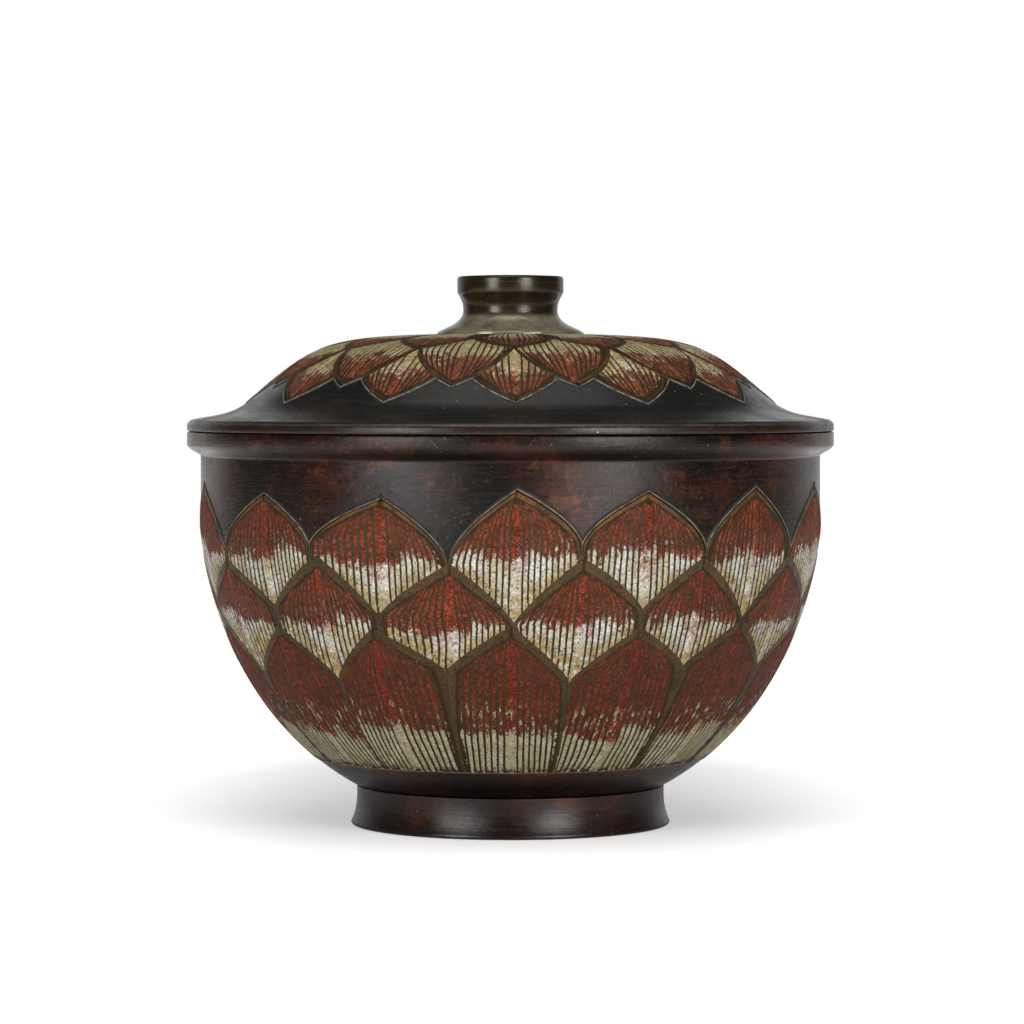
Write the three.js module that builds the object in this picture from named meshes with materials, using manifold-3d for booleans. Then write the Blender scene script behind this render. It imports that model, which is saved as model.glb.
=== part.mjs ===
// Covered bowl of cast bronze, its bowl and cover dressed with overlapping lotus petals in inlaid enamel.
// Millimetres, +Z up. The origin is the middle of the foot's resting face, and the front is -Y.

import * as THREE from 'three';
import { mergeVertices } from 'three/addons/utils/BufferGeometryUtils.js';
import Module from 'manifold-3d';

const wasm = await Module();
wasm.setup();

// Gaps
const seatGap = 0.3; // between two pieces that rest on or in each other
const mouthClearance = 0.8; // between the cover's locating ring and the mouth

// Foot ring
const footHeight = 16; // up to the crease under the bowl
const footTopRadius = 62; // at the crease
const footFlare = 2.3; // how far the foot spreads towards its resting face
const footWaist = 0.5; // how far its flare is first drawn in
const footThickness = 5.1; // at the crease
const footEdge = 0.9; // rounding at the resting face

// Rims of bowl and cover
const rimRadius = 130;
const rimProjection = 5.5; // how far the rims stand out from the upright wall
const rimConeRun = 4.1; // the cone under the bowl's rim: how far it comes out
const rimConeRise = 2.3;
const rimBevelRise = 1.5; // from the cone to the upright band
const rimBand = 5.5; // upright band of the bowl
const jointGap = 0.3; // dark line between the bowl's rim and the cover
const coverBand = 2.6; // upright band of the cover

// Bowl
const bellyHeight = 104.6; // from the crease to where the belly turns upright
const wallHeight = 28.2; // upright wall, up to the rim's cone
const bellyStartAngle = 28.6; // degrees above level at the crease
const bellyStartPull = 64.2; // length of the curve's lower handle
const bellyTopPull = 5.4; // length of its upper handle
const bowlThickness = 4.5;
const bossDepth = 1.6; // step on the underside that centres the foot ring
const bottomBulge = 5.5; // how far the underside sags inside the step
const cornerBreak = 0.6; // small chamfers

// Cover
const coverRollRun = 2.1; // rounding from the upright band to the flange
const coverRollRise = 1.9;
const flangeWidth = 22.4; // from the rounding in to the petals' tips
const flangeRise = 7.1;
const domeRise = 26.7; // from the petals' tips up to the crown
const crownRadius = 36.5; // flat crown round the knob
const flangeStartAngle = 37.4; // degrees below level, at the petals' tips
const flangeEndAngle = 12; // at the rim
const flangePull = 9;
const domeStartAngle = 1.8; // degrees below level, at the crown
const domeStartPull = 39.3;
const domeEndAngle = 42.1; // at the petals' tips
const domeEndPull = 30.1;
const coverThickness = 4;
const coverFaceWidth = 16; // flat face that rests on the bowl's rim

// Locating ring under the cover
const locatingDepth = 8;
const locatingThickness = 3;

// Knob
const knobHeight = 23.9; // above its seat on the crown
const knobRadius = 21.4;
const knobBand = 7; // upright band, below the top
const knobLip = 2.6; // rounding of the top edge
const knobDish = 0.5; // how much the top rises to its middle
const knobNeckRadius = 19.05;
const knobNeckDrop = 6.8; // from the band down to the narrowest place
const knobSkirtRadius = 29.6;
const knobSkirtEdge = 0.9; // thickness of the skirt's edge
const knobSkirtShare = 0.64; // how much of the skirt's width is left a third of the way up to the neck
const shankRadius = 5;
const rivetRadius = 8;
const rivetHeight = 2.4;
const washerRadius = 11;
const washerThickness = 2.4;

// Lotus petals
const bowlPetals = 14; // in each of three rows
const coverPetals = 12;
const bowlDrift = 2.5; // degrees by which the hand-laid petals close up towards the front
const coverDrift = 2.1;
const tipLift = 0.6; // how far a petal's tip stands proud of the wall
const rootLift = 0.1; // and its hidden root
const pocketDepth = 1.3; // sunk field for the enamel
const enamelThickness = 1;
const fieldRim = 0.4; // bronze left between an enamel field and the petals that overlap it

// How fast a row's petals widen at their tips and at their shoulders, in half pitches per petal's length
const topSlopes = { tip: 1.6, shoulder: 0.25 };
const middleSlopes = { tip: 1.35, shoulder: 0.7 };
const bottomSlopes = { tip: 1.2, shoulder: 0.75 };
const coverSlopes = { tip: 1.7, shoulder: 0.45 };

// Bowl rows, measured down along the wall
const topTipDrop = 12.2; // from the rim's cone to the top row's tips
const middleTipDrop = 26.2; // from there to the middle row's tips
const bottomTipDrop = 25;
const topPetalLength = 24; // tip to shoulder, where a petal fills the pitch
const middlePetalLength = 19;
const bottomPetalLength = 16;
const bottomRootLength = 55.5; // shoulder to root
const topBorder = 1; // bronze rim round the enamel
const middleBorder = 2.2;
const bottomBorder = 2.9;

// Cover rows, measured up along the dome. The second row's shoulders lie at the inner row's tips.
const outerTipInset = 0.25; // from the dome's edge to the outer tips
const secondTipInset = 8.65; // from the outer tips to the second row's tips
const outerPetalLength = 26; // tip to shoulder
const secondPetalLength = 26;
const innerPetalLength = 14;
const innerRootInset = 0.5; // from the inner row's roots to the crown
const outerBorder = 1.2;

// Facets, round the axis
const bowlFacets = 56;
const coverFacets = 48;
const footFacets = 48;
const knobFacets = 32;

// and along the curves
const bowlRings = 7;
const flangeRings = 4;
const domeRings = 8;
const flareSteps = 4;
const neckSteps = 9;
const lipSteps = 3;
const petalColumns = 3; // across a petal
const petalSteps = 3; // along each side, tip to shoulder
const rootSteps = 2; // shoulder to root, in the rows that nothing overlaps

const searchSteps = 50; // halvings when a level is searched for
const tiny = 1e-6; // levels and angles closer than this count as one

const degree = Math.PI / 180;
const point = (radius, height) => new THREE.Vector2(radius, height);

// A solid of closed shape for joining and cutting
function solidOf(geometry) {
  const bare = geometry.clone();
  bare.deleteAttribute('normal');
  bare.deleteAttribute('uv');
  const merged = mergeVertices(bare, 1e-4);
  return new wasm.Manifold(new wasm.Mesh({
    numProp: 3,
    vertProperties: merged.attributes.position.array,
    triVerts: new Uint32Array(merged.index.array),
  }));
}

function geometryOf(solid) {
  const mesh = solid.getMesh();
  const geometry = new THREE.BufferGeometry();
  geometry.setAttribute('position', new THREE.BufferAttribute(new Float32Array(mesh.vertProperties), 3));
  geometry.setIndex(new THREE.BufferAttribute(new Uint32Array(mesh.triVerts), 1));
  geometry.computeVertexNormals();
  return geometry;
}

// A turned shape: its outline runs up the outside and down the inside, and turns about +Z
function turned(outline, facets) {
  return new THREE.LatheGeometry(outline, facets).rotateX(Math.PI / 2);
}

// The outside of a wall, as a curve from low to high, read by distance along it
class Skin {
  constructor(curves, drift, petals) {
    this.path = new THREE.CurvePath();
    curves.forEach((curve) => this.path.add(curve));
    this.length = this.path.getLength();
    this.drift = drift * degree;
    this.petals = petals;
    this.halfPitch = Math.PI / petals;
  }

  at(level) {
    return this.path.getPoint(THREE.MathUtils.clamp(level / this.length, 0, 1));
  }

  // The point that stands off the skin by a lift, towards the outside
  offset(level, lift) {
    const share = THREE.MathUtils.clamp(level / this.length, 0, 1);
    const along = this.path.getTangent(share);
    return this.path.getPoint(share).add(point(along.y, -along.x).multiplyScalar(lift));
  }

  // The distance along the skin at which a measure of it passes a value
  levelWhere(measure, value) {
    const rising = measure(this.at(this.length)) > measure(this.at(0));
    let low = 0;
    let high = this.length;
    for (let i = 0; i < searchSteps; i++) {
      const middle = (low + high) / 2;
      if ((measure(this.at(middle)) < value) === rising) low = middle;
      else high = middle;
    }
    return (low + high) / 2;
  }

  place(angle, level, lift) {
    const spot = this.offset(level, lift);
    const drifted = angle - this.drift * Math.sin(angle);
    return [spot.x * Math.sin(drifted), -spot.x * Math.cos(drifted), spot.y];
  }
}

// The bowl's outside, from the crease over the foot to the rim
const wallRadius = rimRadius - rimProjection;
const bellyStart = point(footTopRadius, footHeight);
const bellyEnd = point(wallRadius, footHeight + bellyHeight);
const wallTop = point(wallRadius, bellyEnd.y + wallHeight);
const rimBandHeight = wallTop.y + rimConeRise + rimBevelRise;
const rimTopHeight = rimBandHeight + rimBand;
const bowlSkin = new Skin([
  new THREE.CubicBezierCurve(
    bellyStart,
    point(
      footTopRadius + bellyStartPull * Math.cos(bellyStartAngle * degree),
      footHeight + bellyStartPull * Math.sin(bellyStartAngle * degree),
    ),
    point(wallRadius, bellyEnd.y - bellyTopPull),
    bellyEnd,
  ),
  new THREE.LineCurve(bellyEnd, wallTop),
], bowlDrift, bowlPetals);

// The cover's top, from the rim over the flange and the dome to the crown
const handle = (angle, pull) =>
  point(Math.cos(angle * degree), -Math.sin(angle * degree)).multiplyScalar(pull);
const coverFaceHeight = rimTopHeight + jointGap;
const coverBandTop = coverFaceHeight + coverBand;
const coverEdge = point(rimRadius - coverRollRun, coverBandTop + coverRollRise);
const domeEdge = point(coverEdge.x - flangeWidth, coverEdge.y + flangeRise);
const crownEdge = point(crownRadius, domeEdge.y + domeRise);
const flangeCurve = new THREE.CubicBezierCurve(
  coverEdge,
  coverEdge.clone().sub(handle(flangeEndAngle, flangePull)),
  domeEdge.clone().add(handle(flangeStartAngle, flangePull)),
  domeEdge,
);
const domeCurve = new THREE.CubicBezierCurve(
  domeEdge,
  domeEdge.clone().sub(handle(domeEndAngle, domeEndPull)),
  crownEdge.clone().add(handle(domeStartAngle, domeStartPull)),
  crownEdge,
);
const coverSkin = new Skin([flangeCurve, domeCurve], coverDrift, coverPetals);

// Half a petal's width, as a share of half the pitch, at a distance from the tip given in lengths
function lobe({ tip, shoulder }, share) {
  if (share <= 0) return 0;
  if (share >= 1) return 1 + shoulder * (share - 1);
  const b = 3 - 2 * tip - shoulder;
  const c = tip + shoulder - 2;
  return ((c * share + b) * share + tip) * share;
}

// The same, along the straight facets of the built outline
function facetedLobe(slopes, share) {
  if (share <= 0 || share >= 1) return lobe(slopes, share);
  const step = Math.floor(share * petalSteps);
  const start = lobe(slopes, step / petalSteps);
  return start + (lobe(slopes, (step + 1) / petalSteps) - start) * (share * petalSteps - step);
}

// A row of petals on a skin. Its tips point along the skin in the direction given, up or down, and the
// row that overlaps its roots is the next one.
function petalRow(name, skin, tip, length, slopes, pointing, shifted, border) {
  const centres = Array.from({ length: skin.petals }, (_, i) => (2 * i + shifted) * skin.halfPitch);
  return { name, skin, tip, length, slopes, pointing, centres, border, next: null, previous: null };
}

function chain(rows) {
  rows.forEach((row, i) => {
    row.next = rows[i + 1] ?? null;
    row.previous = rows[i - 1] ?? null;
  });
}

const depthOf = (row, level) => (row.tip - level) * row.pointing;
const spreadAt = (row, level) =>
  Math.min(facetedLobe(row.slopes, depthOf(row, level) / row.length), 1) * row.skin.halfPitch;

// Where two rows' outlines cross, when the next row's tips reach out between the petals
function crossing(row) {
  let outer = row.tip;
  let inner = row.tip - row.length * row.pointing;
  for (let i = 0; i < searchSteps; i++) {
    const middle = (outer + inner) / 2;
    if (spreadAt(row, middle) + spreadAt(row.next, middle) < row.skin.halfPitch) outer = middle;
    else inner = middle;
  }
  return inner;
}

const shares = Array.from({ length: petalSteps + 1 }, (_, i) => i / petalSteps);
const ownLevels = (row) => shares.map((share) => row.tip - share * row.length * row.pointing);
const deeper = (row, level) => (other) => depthOf(row, other) > depthOf(row, level) + tiny;

// The levels along the seen part of a petal, from its tip to its lowest point. Two rows that share an
// edge share its levels.
function stationsOf(row) {
  const met = row.previous ? [crossing(row.previous)].filter(deeper(row, row.tip)) : [];
  const corner = row.next ? crossing(row) : row.tip - row.length * row.pointing;
  const above = [...ownLevels(row), ...met].filter((level) => !deeper(row, corner)(level));
  const below = row.next
    ? ownLevels(row.next).filter(deeper(row, corner))
    : Array.from({ length: rootSteps }, (_, i) =>
      THREE.MathUtils.lerp(corner, row.root, (i + 1) / rootSteps));
  const levels = [...above.filter((level) => deeper(row, level)(corner)), corner, ...below];
  return levels.sort((a, b) => depthOf(row, a) - depthOf(row, b));
}

// The right edge of the seen part of a petal, from tip to root, as half angles at levels
function petalEdge(row) {
  return stationsOf(row).map((level) => {
    const room = row.skin.halfPitch - (row.next ? spreadAt(row.next, level) : 0);
    return { level, half: Math.max(Math.min(spreadAt(row, level), room), 0) };
  });
}

// How far a petal's face stands proud, falling from tip to root
function liftAt(row) {
  const last = petalEdge(row).at(-1).level;
  return (level) => THREE.MathUtils.mapLinear(level, row.tip, last, tipLift, rootLift);
}

const nearlyStraight = 0.02; // sine of the turn below which two sides of an edge are taken as one line

// Moves an edge inwards, by one width along the petal's own outline, by another along the next row's
// and by a third at a straight root
function insetEdge(row, edge, outlineWidth, nextWidth, rootWidth) {
  const spots = edge.map(({ level, half }) => point(half * row.skin.at(level).x, depthOf(row, level)));
  const widest = edge.reduce((best, { half }, i) => (half > edge[best].half - tiny ? i : best), 0);
  const inward = (i) => {
    const run = spots[i + 1].clone().sub(spots[i]).normalize();
    return point(-run.y, run.x);
  };
  const width = (i) => (i < widest ? outlineWidth : nextWidth);
  return spots.map((spot, i) => {
    const last = i === spots.length - 1;
    if (i === 0) return point(0, spot.y + outlineWidth / inward(0).y);
    const before = inward(i - 1);
    if (last && spot.x < seatGap) return point(0, spot.y + nextWidth / before.y);
    const after = last ? point(0, -1) : inward(i);
    const turn = before.x * after.y - before.y * after.x;
    if (Math.abs(turn) < nearlyStraight) return spot.clone().addScaledVector(before, width(i - 1));
    const [widthBefore, widthAfter] = [width(i - 1), last ? rootWidth : width(i)];
    return spot.clone().add(point(
      (widthBefore * after.y - widthAfter * before.y) / turn,
      (widthAfter * before.x - widthBefore * after.x) / turn,
    ));
  }).map((spot) => {
    const level = row.tip - spot.y * row.pointing;
    return { level, half: Math.max(spot.x, 0) / row.skin.at(level).x };
  });
}

// Faces of a shape that is built petal by petal
class Faces {
  constructor(row) {
    this.skin = row.skin;
    this.turned = row.pointing < 0;
    this.positions = [];
  }

  triangle(a, b, c) {
    const same = (p, q) => p.every((value, i) => Math.abs(value - q[i]) < tiny);
    if (same(a, b) || same(b, c) || same(a, c)) return;
    const corners = this.turned ? [a, c, b] : [a, b, c];
    corners.forEach((corner) => this.positions.push(...this.skin.place(...corner)));
  }

  // A closed or open band between two lines of points
  band(outer, inner) {
    for (let i = 0; i < outer.length - 1; i++) {
      this.triangle(outer[i], inner[i], inner[i + 1]);
      this.triangle(outer[i], inner[i + 1], outer[i + 1]);
    }
  }

  // An upright wall between two stacks of points, each from foot to top
  wall(near, far) {
    near.slice(1).forEach((spot, i) => this.triangle(near[i], spot, far[0]));
    far.slice(1).forEach((spot, i) => this.triangle(near.at(-1), spot, far[i]));
  }

  // A sheet across an edge, facing out, or in when it is underneath
  sheet(centre, edge, lift, underneath = false) {
    const lines = edge.map((station) => acrossPetal(centre, station, lift));
    for (let k = 0; k < lines.length - 1; k++) {
      for (let i = 0; i < petalColumns; i++) {
        const [a, b, c, d] = [lines[k][i], lines[k + 1][i], lines[k + 1][i + 1], lines[k][i + 1]];
        if (underneath) {
          this.triangle(a, d, c);
          this.triangle(a, c, b);
        } else {
          this.triangle(a, b, c);
          this.triangle(a, c, d);
        }
      }
    }
  }

  geometry() {
    const geometry = new THREE.BufferGeometry();
    geometry.setAttribute('position', new THREE.Float32BufferAttribute(this.positions, 3));
    return geometry;
  }
}

// Points are an angle, a level and a lift
const spotAt = (centre, { level, half }, side, lift) => [centre + side * half, level, lift(level)];
const acrossPetal = (centre, station, lift) => Array.from({ length: petalColumns + 1 }, (_, i) =>
  spotAt(centre, station, (2 * i) / petalColumns - 1, lift));

// The line right round an edge: down the right side, back across the root and up the left side
function loopOf(centre, edge, lift) {
  const right = edge.map((station) => spotAt(centre, station, 1, lift));
  const root = acrossPetal(centre, edge.at(-1), lift).reverse().slice(1, -1);
  const left = edge.map((station) => spotAt(centre, station, -1, lift)).reverse();
  return [...right, ...root, ...left, right[0]];
}

const sunk = 2; // how deep the petals' bronze reaches into the wall, to become one with it
const underside = () => -sunk;

// The seen bronze of all petals as one raised mantle, with a pocket for the enamel in each petal of the
// rows named
function mantle(rows, pocketed) {
  const faces = new Faces(rows[0]);
  rows.forEach((row) => {
    const edge = petalEdge(row);
    const field = pocketed.includes(row) ? fieldEdge(row) : null;
    const lift = liftAt(row);
    const floor = (level) => lift(level) - pocketDepth;
    row.centres.forEach((centre) => {
      const rim = loopOf(centre, edge, lift);
      if (field) {
        faces.band(rim, loopOf(centre, field, lift));
        faces.band(loopOf(centre, field, lift), loopOf(centre, field, floor));
        faces.sheet(centre, field, floor);
      } else {
        faces.sheet(centre, edge, lift);
      }
      faces.sheet(centre, edge, underside, true);
      outlineWalls(faces, row, centre, edge, lift);
      if (!row.next) rootWall(faces, centre, edge.at(-1), lift);
    });
  });
  return solidOf(faces.geometry());
}

// The step along a petal's own outline, down to the row that it overlaps or into the bare wall
function outlineWalls(faces, row, centre, edge, lift) {
  const corner = row.next ? crossing(row) : row.tip - row.length * row.pointing;
  const own = edge.filter(({ level }) => !deeper(row, corner)(level));
  const under = row.previous ? liftAt(row.previous) : null;
  const met = row.previous ? crossing(row.previous) : null;
  own.slice(1).forEach((lower, k) => {
    const upper = own[k];
    const bare = !row.previous || deeper(row, upper.level)(met);
    const bases = (level) => {
      if (!bare) return [under];
      return under && Math.abs(level - met) < tiny ? [underside, under] : [underside];
    };
    const stack = (station, side) =>
      [...bases(station.level), lift].map((height) => spotAt(centre, station, side, height));
    faces.wall(stack(upper, 1), stack(lower, 1));
    faces.wall(stack(lower, -1), stack(upper, -1));
  });
}

function rootWall(faces, centre, station, lift) {
  const line = (height) => acrossPetal(centre, station, height).reverse();
  faces.band(line(underside), line(lift));
}

// The edge of a petal's enamel field
function fieldEdge(row) {
  return insetEdge(row, petalEdge(row), row.border, row.next ? fieldRim : row.border, fieldRim);
}

// A closed panel across an edge, between two lifts
function panel(row, centre, edge, low, high) {
  const faces = new Faces(row);
  faces.sheet(centre, edge, high);
  faces.sheet(centre, edge, low, true);
  faces.band(loopOf(centre, edge, low), loopOf(centre, edge, high));
  return faces.geometry();
}

// Room in the wall behind the pockets, which the mantle lines
function hollows(row) {
  const edge = insetEdge(row, petalEdge(row), row.border / 2, fieldRim / 2, fieldRim / 2);
  const floor = () => (rootLift - pocketDepth - sunk) / 2;
  return row.centres.map((centre) => solidOf(panel(row, centre, edge, floor, () => sunk)));
}

function inlays(row) {
  const edge = insetEdge(row, fieldEdge(row), seatGap, seatGap, seatGap);
  const lift = liftAt(row);
  const foot = (level) => lift(level) - pocketDepth + seatGap;
  const face = (level) => foot(level) + enamelThickness;
  return row.centres.map((centre) => panel(row, centre, edge, foot, face));
}

// Rows from the seen tips inwards
const topTip = bowlSkin.length - topTipDrop;
const middleTip = topTip - middleTipDrop;
const bottomTip = middleTip - bottomTipDrop;
const bowlRow = (name, tip, length, slopes, shifted, border) =>
  petalRow(`bowl_enamel_${name}`, bowlSkin, tip, length, slopes, 1, shifted, border);
const bowlRows = [
  bowlRow('top', topTip, topPetalLength, topSlopes, 0, topBorder),
  bowlRow('middle', middleTip, middlePetalLength, middleSlopes, 1, middleBorder),
  bowlRow('bottom', bottomTip, bottomPetalLength, bottomSlopes, 0, bottomBorder),
];
bowlRows[2].root = bottomTip - bottomPetalLength - bottomRootLength;

const outerTip = flangeCurve.getLength() + outerTipInset;
const secondTip = outerTip + secondTipInset;
const coverRow = (name, tip, length, shifted) =>
  petalRow(`cover_enamel_${name}`, coverSkin, tip, length, coverSlopes, -1, shifted, outerBorder);
const coverRows = [
  coverRow('outer', outerTip, outerPetalLength, 0),
  coverRow('second', secondTip, secondPetalLength, 1),
  coverRow('inner', secondTip + secondPetalLength, innerPetalLength, 0),
];
coverRows[2].root = coverSkin.length - innerRootInset;
[bowlRows, coverRows].forEach(chain);

const footBore = footTopRadius - footThickness;
const bossRadius = footBore - seatGap;
const bottomSlope = bottomBulge * 0.3; // rise of the underside at half the boss's radius
const mouthRadius = wallRadius - bowlThickness;

// Bowl shell: base, belly, upright wall and rim in one casting, with the petals in relief
function bowlShell() {
  const levels = Array.from({ length: bowlRings + 1 }, (_, i) => (bowlSkin.length * i) / bowlRings);
  const outside = levels.map((level) => bowlSkin.at(level));
  const inside = levels.map((level) => bowlSkin.offset(level, -bowlThickness)).reverse();
  const bossFace = footHeight - bossDepth;
  const underside = bossFace - bottomBulge;
  const outline = [
    point(0, underside),
    point(bossRadius / 2, underside + bottomSlope),
    point(bossRadius - cornerBreak, bossFace),
    point(bossRadius, footHeight),
    ...outside,
    point(wallRadius + rimConeRun, wallTop.y + rimConeRise),
    point(rimRadius, rimBandHeight),
    point(rimRadius, rimTopHeight - cornerBreak),
    point(rimRadius - cornerBreak, rimTopHeight),
    point(mouthRadius + cornerBreak, rimTopHeight),
    point(mouthRadius, rimTopHeight - cornerBreak),
    ...inside,
    point(bossRadius / 2, underside + bottomSlope + bowlThickness),
    point(0, underside + bowlThickness),
  ];
  const wall = solidOf(turned(outline, bowlFacets));
  const hollowed = wall.subtract(wasm.Manifold.union(bowlRows.flatMap(hollows)));
  return geometryOf(hollowed.add(mantle(bowlRows, bowlRows)));
}

// Foot ring: a flared ring under the bowl, centred by the step on the bowl's underside
function footRing() {
  const top = footHeight - seatGap;
  const footRadius = footTopRadius + footFlare;
  const flare = new THREE.QuadraticBezierCurve(
    point(footRadius, footEdge), point(footTopRadius - footWaist, top / 2), point(footTopRadius, top),
  );
  const outline = [
    point(footBore + cornerBreak, 0),
    point(footRadius - footEdge, 0),
    point(footRadius - footEdge * (1 - Math.SQRT1_2), footEdge * (1 - Math.SQRT1_2)),
    ...flare.getPoints(flareSteps),
    point(footBore, top),
    point(footBore, cornerBreak),
    point(footBore + cornerBreak, 0),
  ];
  return turned(outline, footFacets);
}

// Cover shell: flat rim face, flange, dome and crown in one casting, with the petals in relief
const crownUnderside = crownEdge.y - coverThickness;
const holeRadius = shankRadius + seatGap;
function coverShell() {
  const coverFaceRadius = rimRadius - coverFaceWidth;
  const faceLevel = coverSkin.levelWhere((spot) => spot.x, coverFaceRadius);
  const outside = [...flangeCurve.getPoints(flangeRings), ...domeCurve.getSpacedPoints(domeRings).slice(1)];
  const underLevels = Array.from({ length: domeRings + 1 }, (_, i) =>
    THREE.MathUtils.lerp(faceLevel, coverSkin.length, i / domeRings));
  const inside = underLevels.map((level) => coverSkin.offset(level, -coverThickness)).reverse();
  const outline = [
    point(coverFaceRadius, coverFaceHeight),
    point(rimRadius - cornerBreak, coverFaceHeight),
    point(rimRadius, coverFaceHeight + cornerBreak),
    point(rimRadius, coverBandTop),
    ...outside,
    point(holeRadius, crownEdge.y),
    point(holeRadius, crownUnderside),
    ...inside,
    point(coverFaceRadius, coverFaceHeight),
  ];
  const wall = solidOf(turned(outline, coverFacets));
  const hollowed = wall.subtract(wasm.Manifold.union(hollows(coverRows[0])));
  return geometryOf(hollowed.add(mantle(coverRows, [coverRows[0]])));
}

// Locating ring: hangs under the cover's flat face and drops into the mouth
function locatingRing() {
  const outer = mouthRadius - mouthClearance;
  const inner = outer - locatingThickness;
  const top = coverFaceHeight - seatGap;
  const foot = top - locatingDepth;
  return turned([
    point(inner, foot),
    point(outer - cornerBreak, foot),
    point(outer, foot + cornerBreak),
    point(outer, top),
    point(inner, top),
    point(inner, foot),
  ], coverFacets);
}

// Knob: a turned casting whose shank passes through the crown and is riveted over the washer
const washerTop = crownUnderside - seatGap;
const rivetTop = washerTop - washerThickness - seatGap;
function knob() {
  const seat = crownEdge.y + seatGap;
  const top = seat + knobHeight;
  const bandHeight = top - knobBand;
  const neckHeight = bandHeight - knobNeckDrop;
  const skirtTop = seat + knobSkirtEdge;
  const shoulderRadius = THREE.MathUtils.lerp(knobNeckRadius, knobSkirtRadius, knobSkirtShare);
  const neck = new THREE.SplineCurve([
    point(knobSkirtRadius, skirtTop),
    point(shoulderRadius, (skirtTop * 2 + neckHeight) / 3),
    point(knobNeckRadius, neckHeight),
    point(knobRadius, bandHeight),
  ]);
  const lip = new THREE.EllipseCurve(
    knobRadius - knobLip, top - knobDish - knobLip, knobLip, knobLip, 0, Math.PI / 2,
  );
  const outline = [
    point(0, rivetTop - rivetHeight),
    point(rivetRadius - rivetHeight / 2, rivetTop - rivetHeight),
    point(rivetRadius, rivetTop - rivetHeight / 2),
    point(rivetRadius, rivetTop),
    point(shankRadius, rivetTop),
    point(shankRadius, seat),
    point(knobSkirtRadius, seat),
    ...neck.getPoints(neckSteps),
    ...lip.getPoints(lipSteps),
    point(0, top),
  ];
  return turned(outline, knobFacets);
}

function knobWasher() {
  const foot = washerTop - washerThickness;
  return turned([
    point(holeRadius, foot),
    point(washerRadius - cornerBreak, foot),
    point(washerRadius, foot + cornerBreak),
    point(washerRadius, washerTop),
    point(holeRadius, washerTop),
    point(holeRadius, foot),
  ], knobFacets);
}

const patina = new THREE.MeshStandardMaterial({ color: '#33231d', roughness: 0.42, metalness: 0.85 });
const darkPatina = new THREE.MeshStandardMaterial({ color: '#28242a', roughness: 0.38, metalness: 0.85 });
const knobPatina = new THREE.MeshStandardMaterial({ color: '#2f271b', roughness: 0.36, metalness: 0.85 });
const bareBronze = new THREE.MeshStandardMaterial({ color: '#6a5230', roughness: 0.5, metalness: 0.9 });
const redEnamel = new THREE.MeshStandardMaterial({ color: '#8f3529', roughness: 0.55, metalness: 0 });

const bowl = new THREE.Group();
const cover = new THREE.Group();

function add(group, name, geometry, material) {
  const mesh = new THREE.Mesh(geometry, material.clone());
  mesh.name = name;
  group.add(mesh);
}

function addInlays(group, row) {
  inlays(row).forEach((geometry, i) => {
    add(group, `${row.name}_${String(i + 1).padStart(2, '0')}`, geometry, redEnamel);
  });
}

add(bowl, 'foot_ring', footRing(), patina);
add(bowl, 'bowl_shell', bowlShell(), patina);
bowlRows.forEach((row) => addInlays(bowl, row));

add(cover, 'cover_shell', coverShell(), darkPatina);
add(cover, 'cover_locating_ring', locatingRing(), bareBronze);
add(cover, 'knob', knob(), knobPatina);
add(cover, 'knob_washer', knobWasher(), bareBronze);
addInlays(cover, coverRows[0]);

const coveredBowl = new THREE.Group();
coveredBowl.add(bowl, cover);

export default coveredBowl;
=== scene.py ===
# Covered bowl of cast bronze with inlaid enamel lotus petals
import math
import random

import bpy
import numpy as np
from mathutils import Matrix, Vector


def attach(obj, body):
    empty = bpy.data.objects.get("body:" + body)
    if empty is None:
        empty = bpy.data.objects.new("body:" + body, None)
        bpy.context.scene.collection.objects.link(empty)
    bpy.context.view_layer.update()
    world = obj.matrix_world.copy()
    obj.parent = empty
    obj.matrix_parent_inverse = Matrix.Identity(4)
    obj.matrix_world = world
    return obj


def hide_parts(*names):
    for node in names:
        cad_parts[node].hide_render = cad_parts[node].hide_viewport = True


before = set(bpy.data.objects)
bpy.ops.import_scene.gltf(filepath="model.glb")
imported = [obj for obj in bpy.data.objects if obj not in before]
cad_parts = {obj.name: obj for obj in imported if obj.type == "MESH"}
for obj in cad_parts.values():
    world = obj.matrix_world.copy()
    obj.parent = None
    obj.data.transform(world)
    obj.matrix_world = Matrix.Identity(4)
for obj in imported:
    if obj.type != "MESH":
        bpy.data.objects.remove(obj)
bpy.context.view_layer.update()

mm = 0.001
weld = 2e-6  # points nearer than this become one
print("frame loaded")


# Small helpers for curves, all in metres: radius and height from the axis

def bezier(start, startPull, endPull, end, steps):
    t = np.linspace(0, 1, steps + 1)[:, None]
    a, b, c, d = (np.array(p, float) for p in (start, startPull, endPull, end))
    return a * (1 - t) ** 3 + 3 * b * t * (1 - t) ** 2 + 3 * c * t * t * (1 - t) + d * t ** 3


def straight(start, end, steps):
    t = np.linspace(0, 1, steps + 1)[:, None]
    return np.array(start, float) * (1 - t) + np.array(end, float) * t


def corner(centre, radius, fromAngle, toAngle, steps):
    # a rounded corner, angles in degrees from straight out
    return [
        (centre[0] + radius * math.cos(math.radians(a)), centre[1] + radius * math.sin(math.radians(a)))
        for a in np.linspace(fromAngle, toAngle, steps + 1)
    ]


def around(place, *steps):
    # points near a place, each by its steps in mm outwards and upwards
    return [(place[0] + out * mm, place[1] + up * mm) for out, up in steps]


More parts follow.
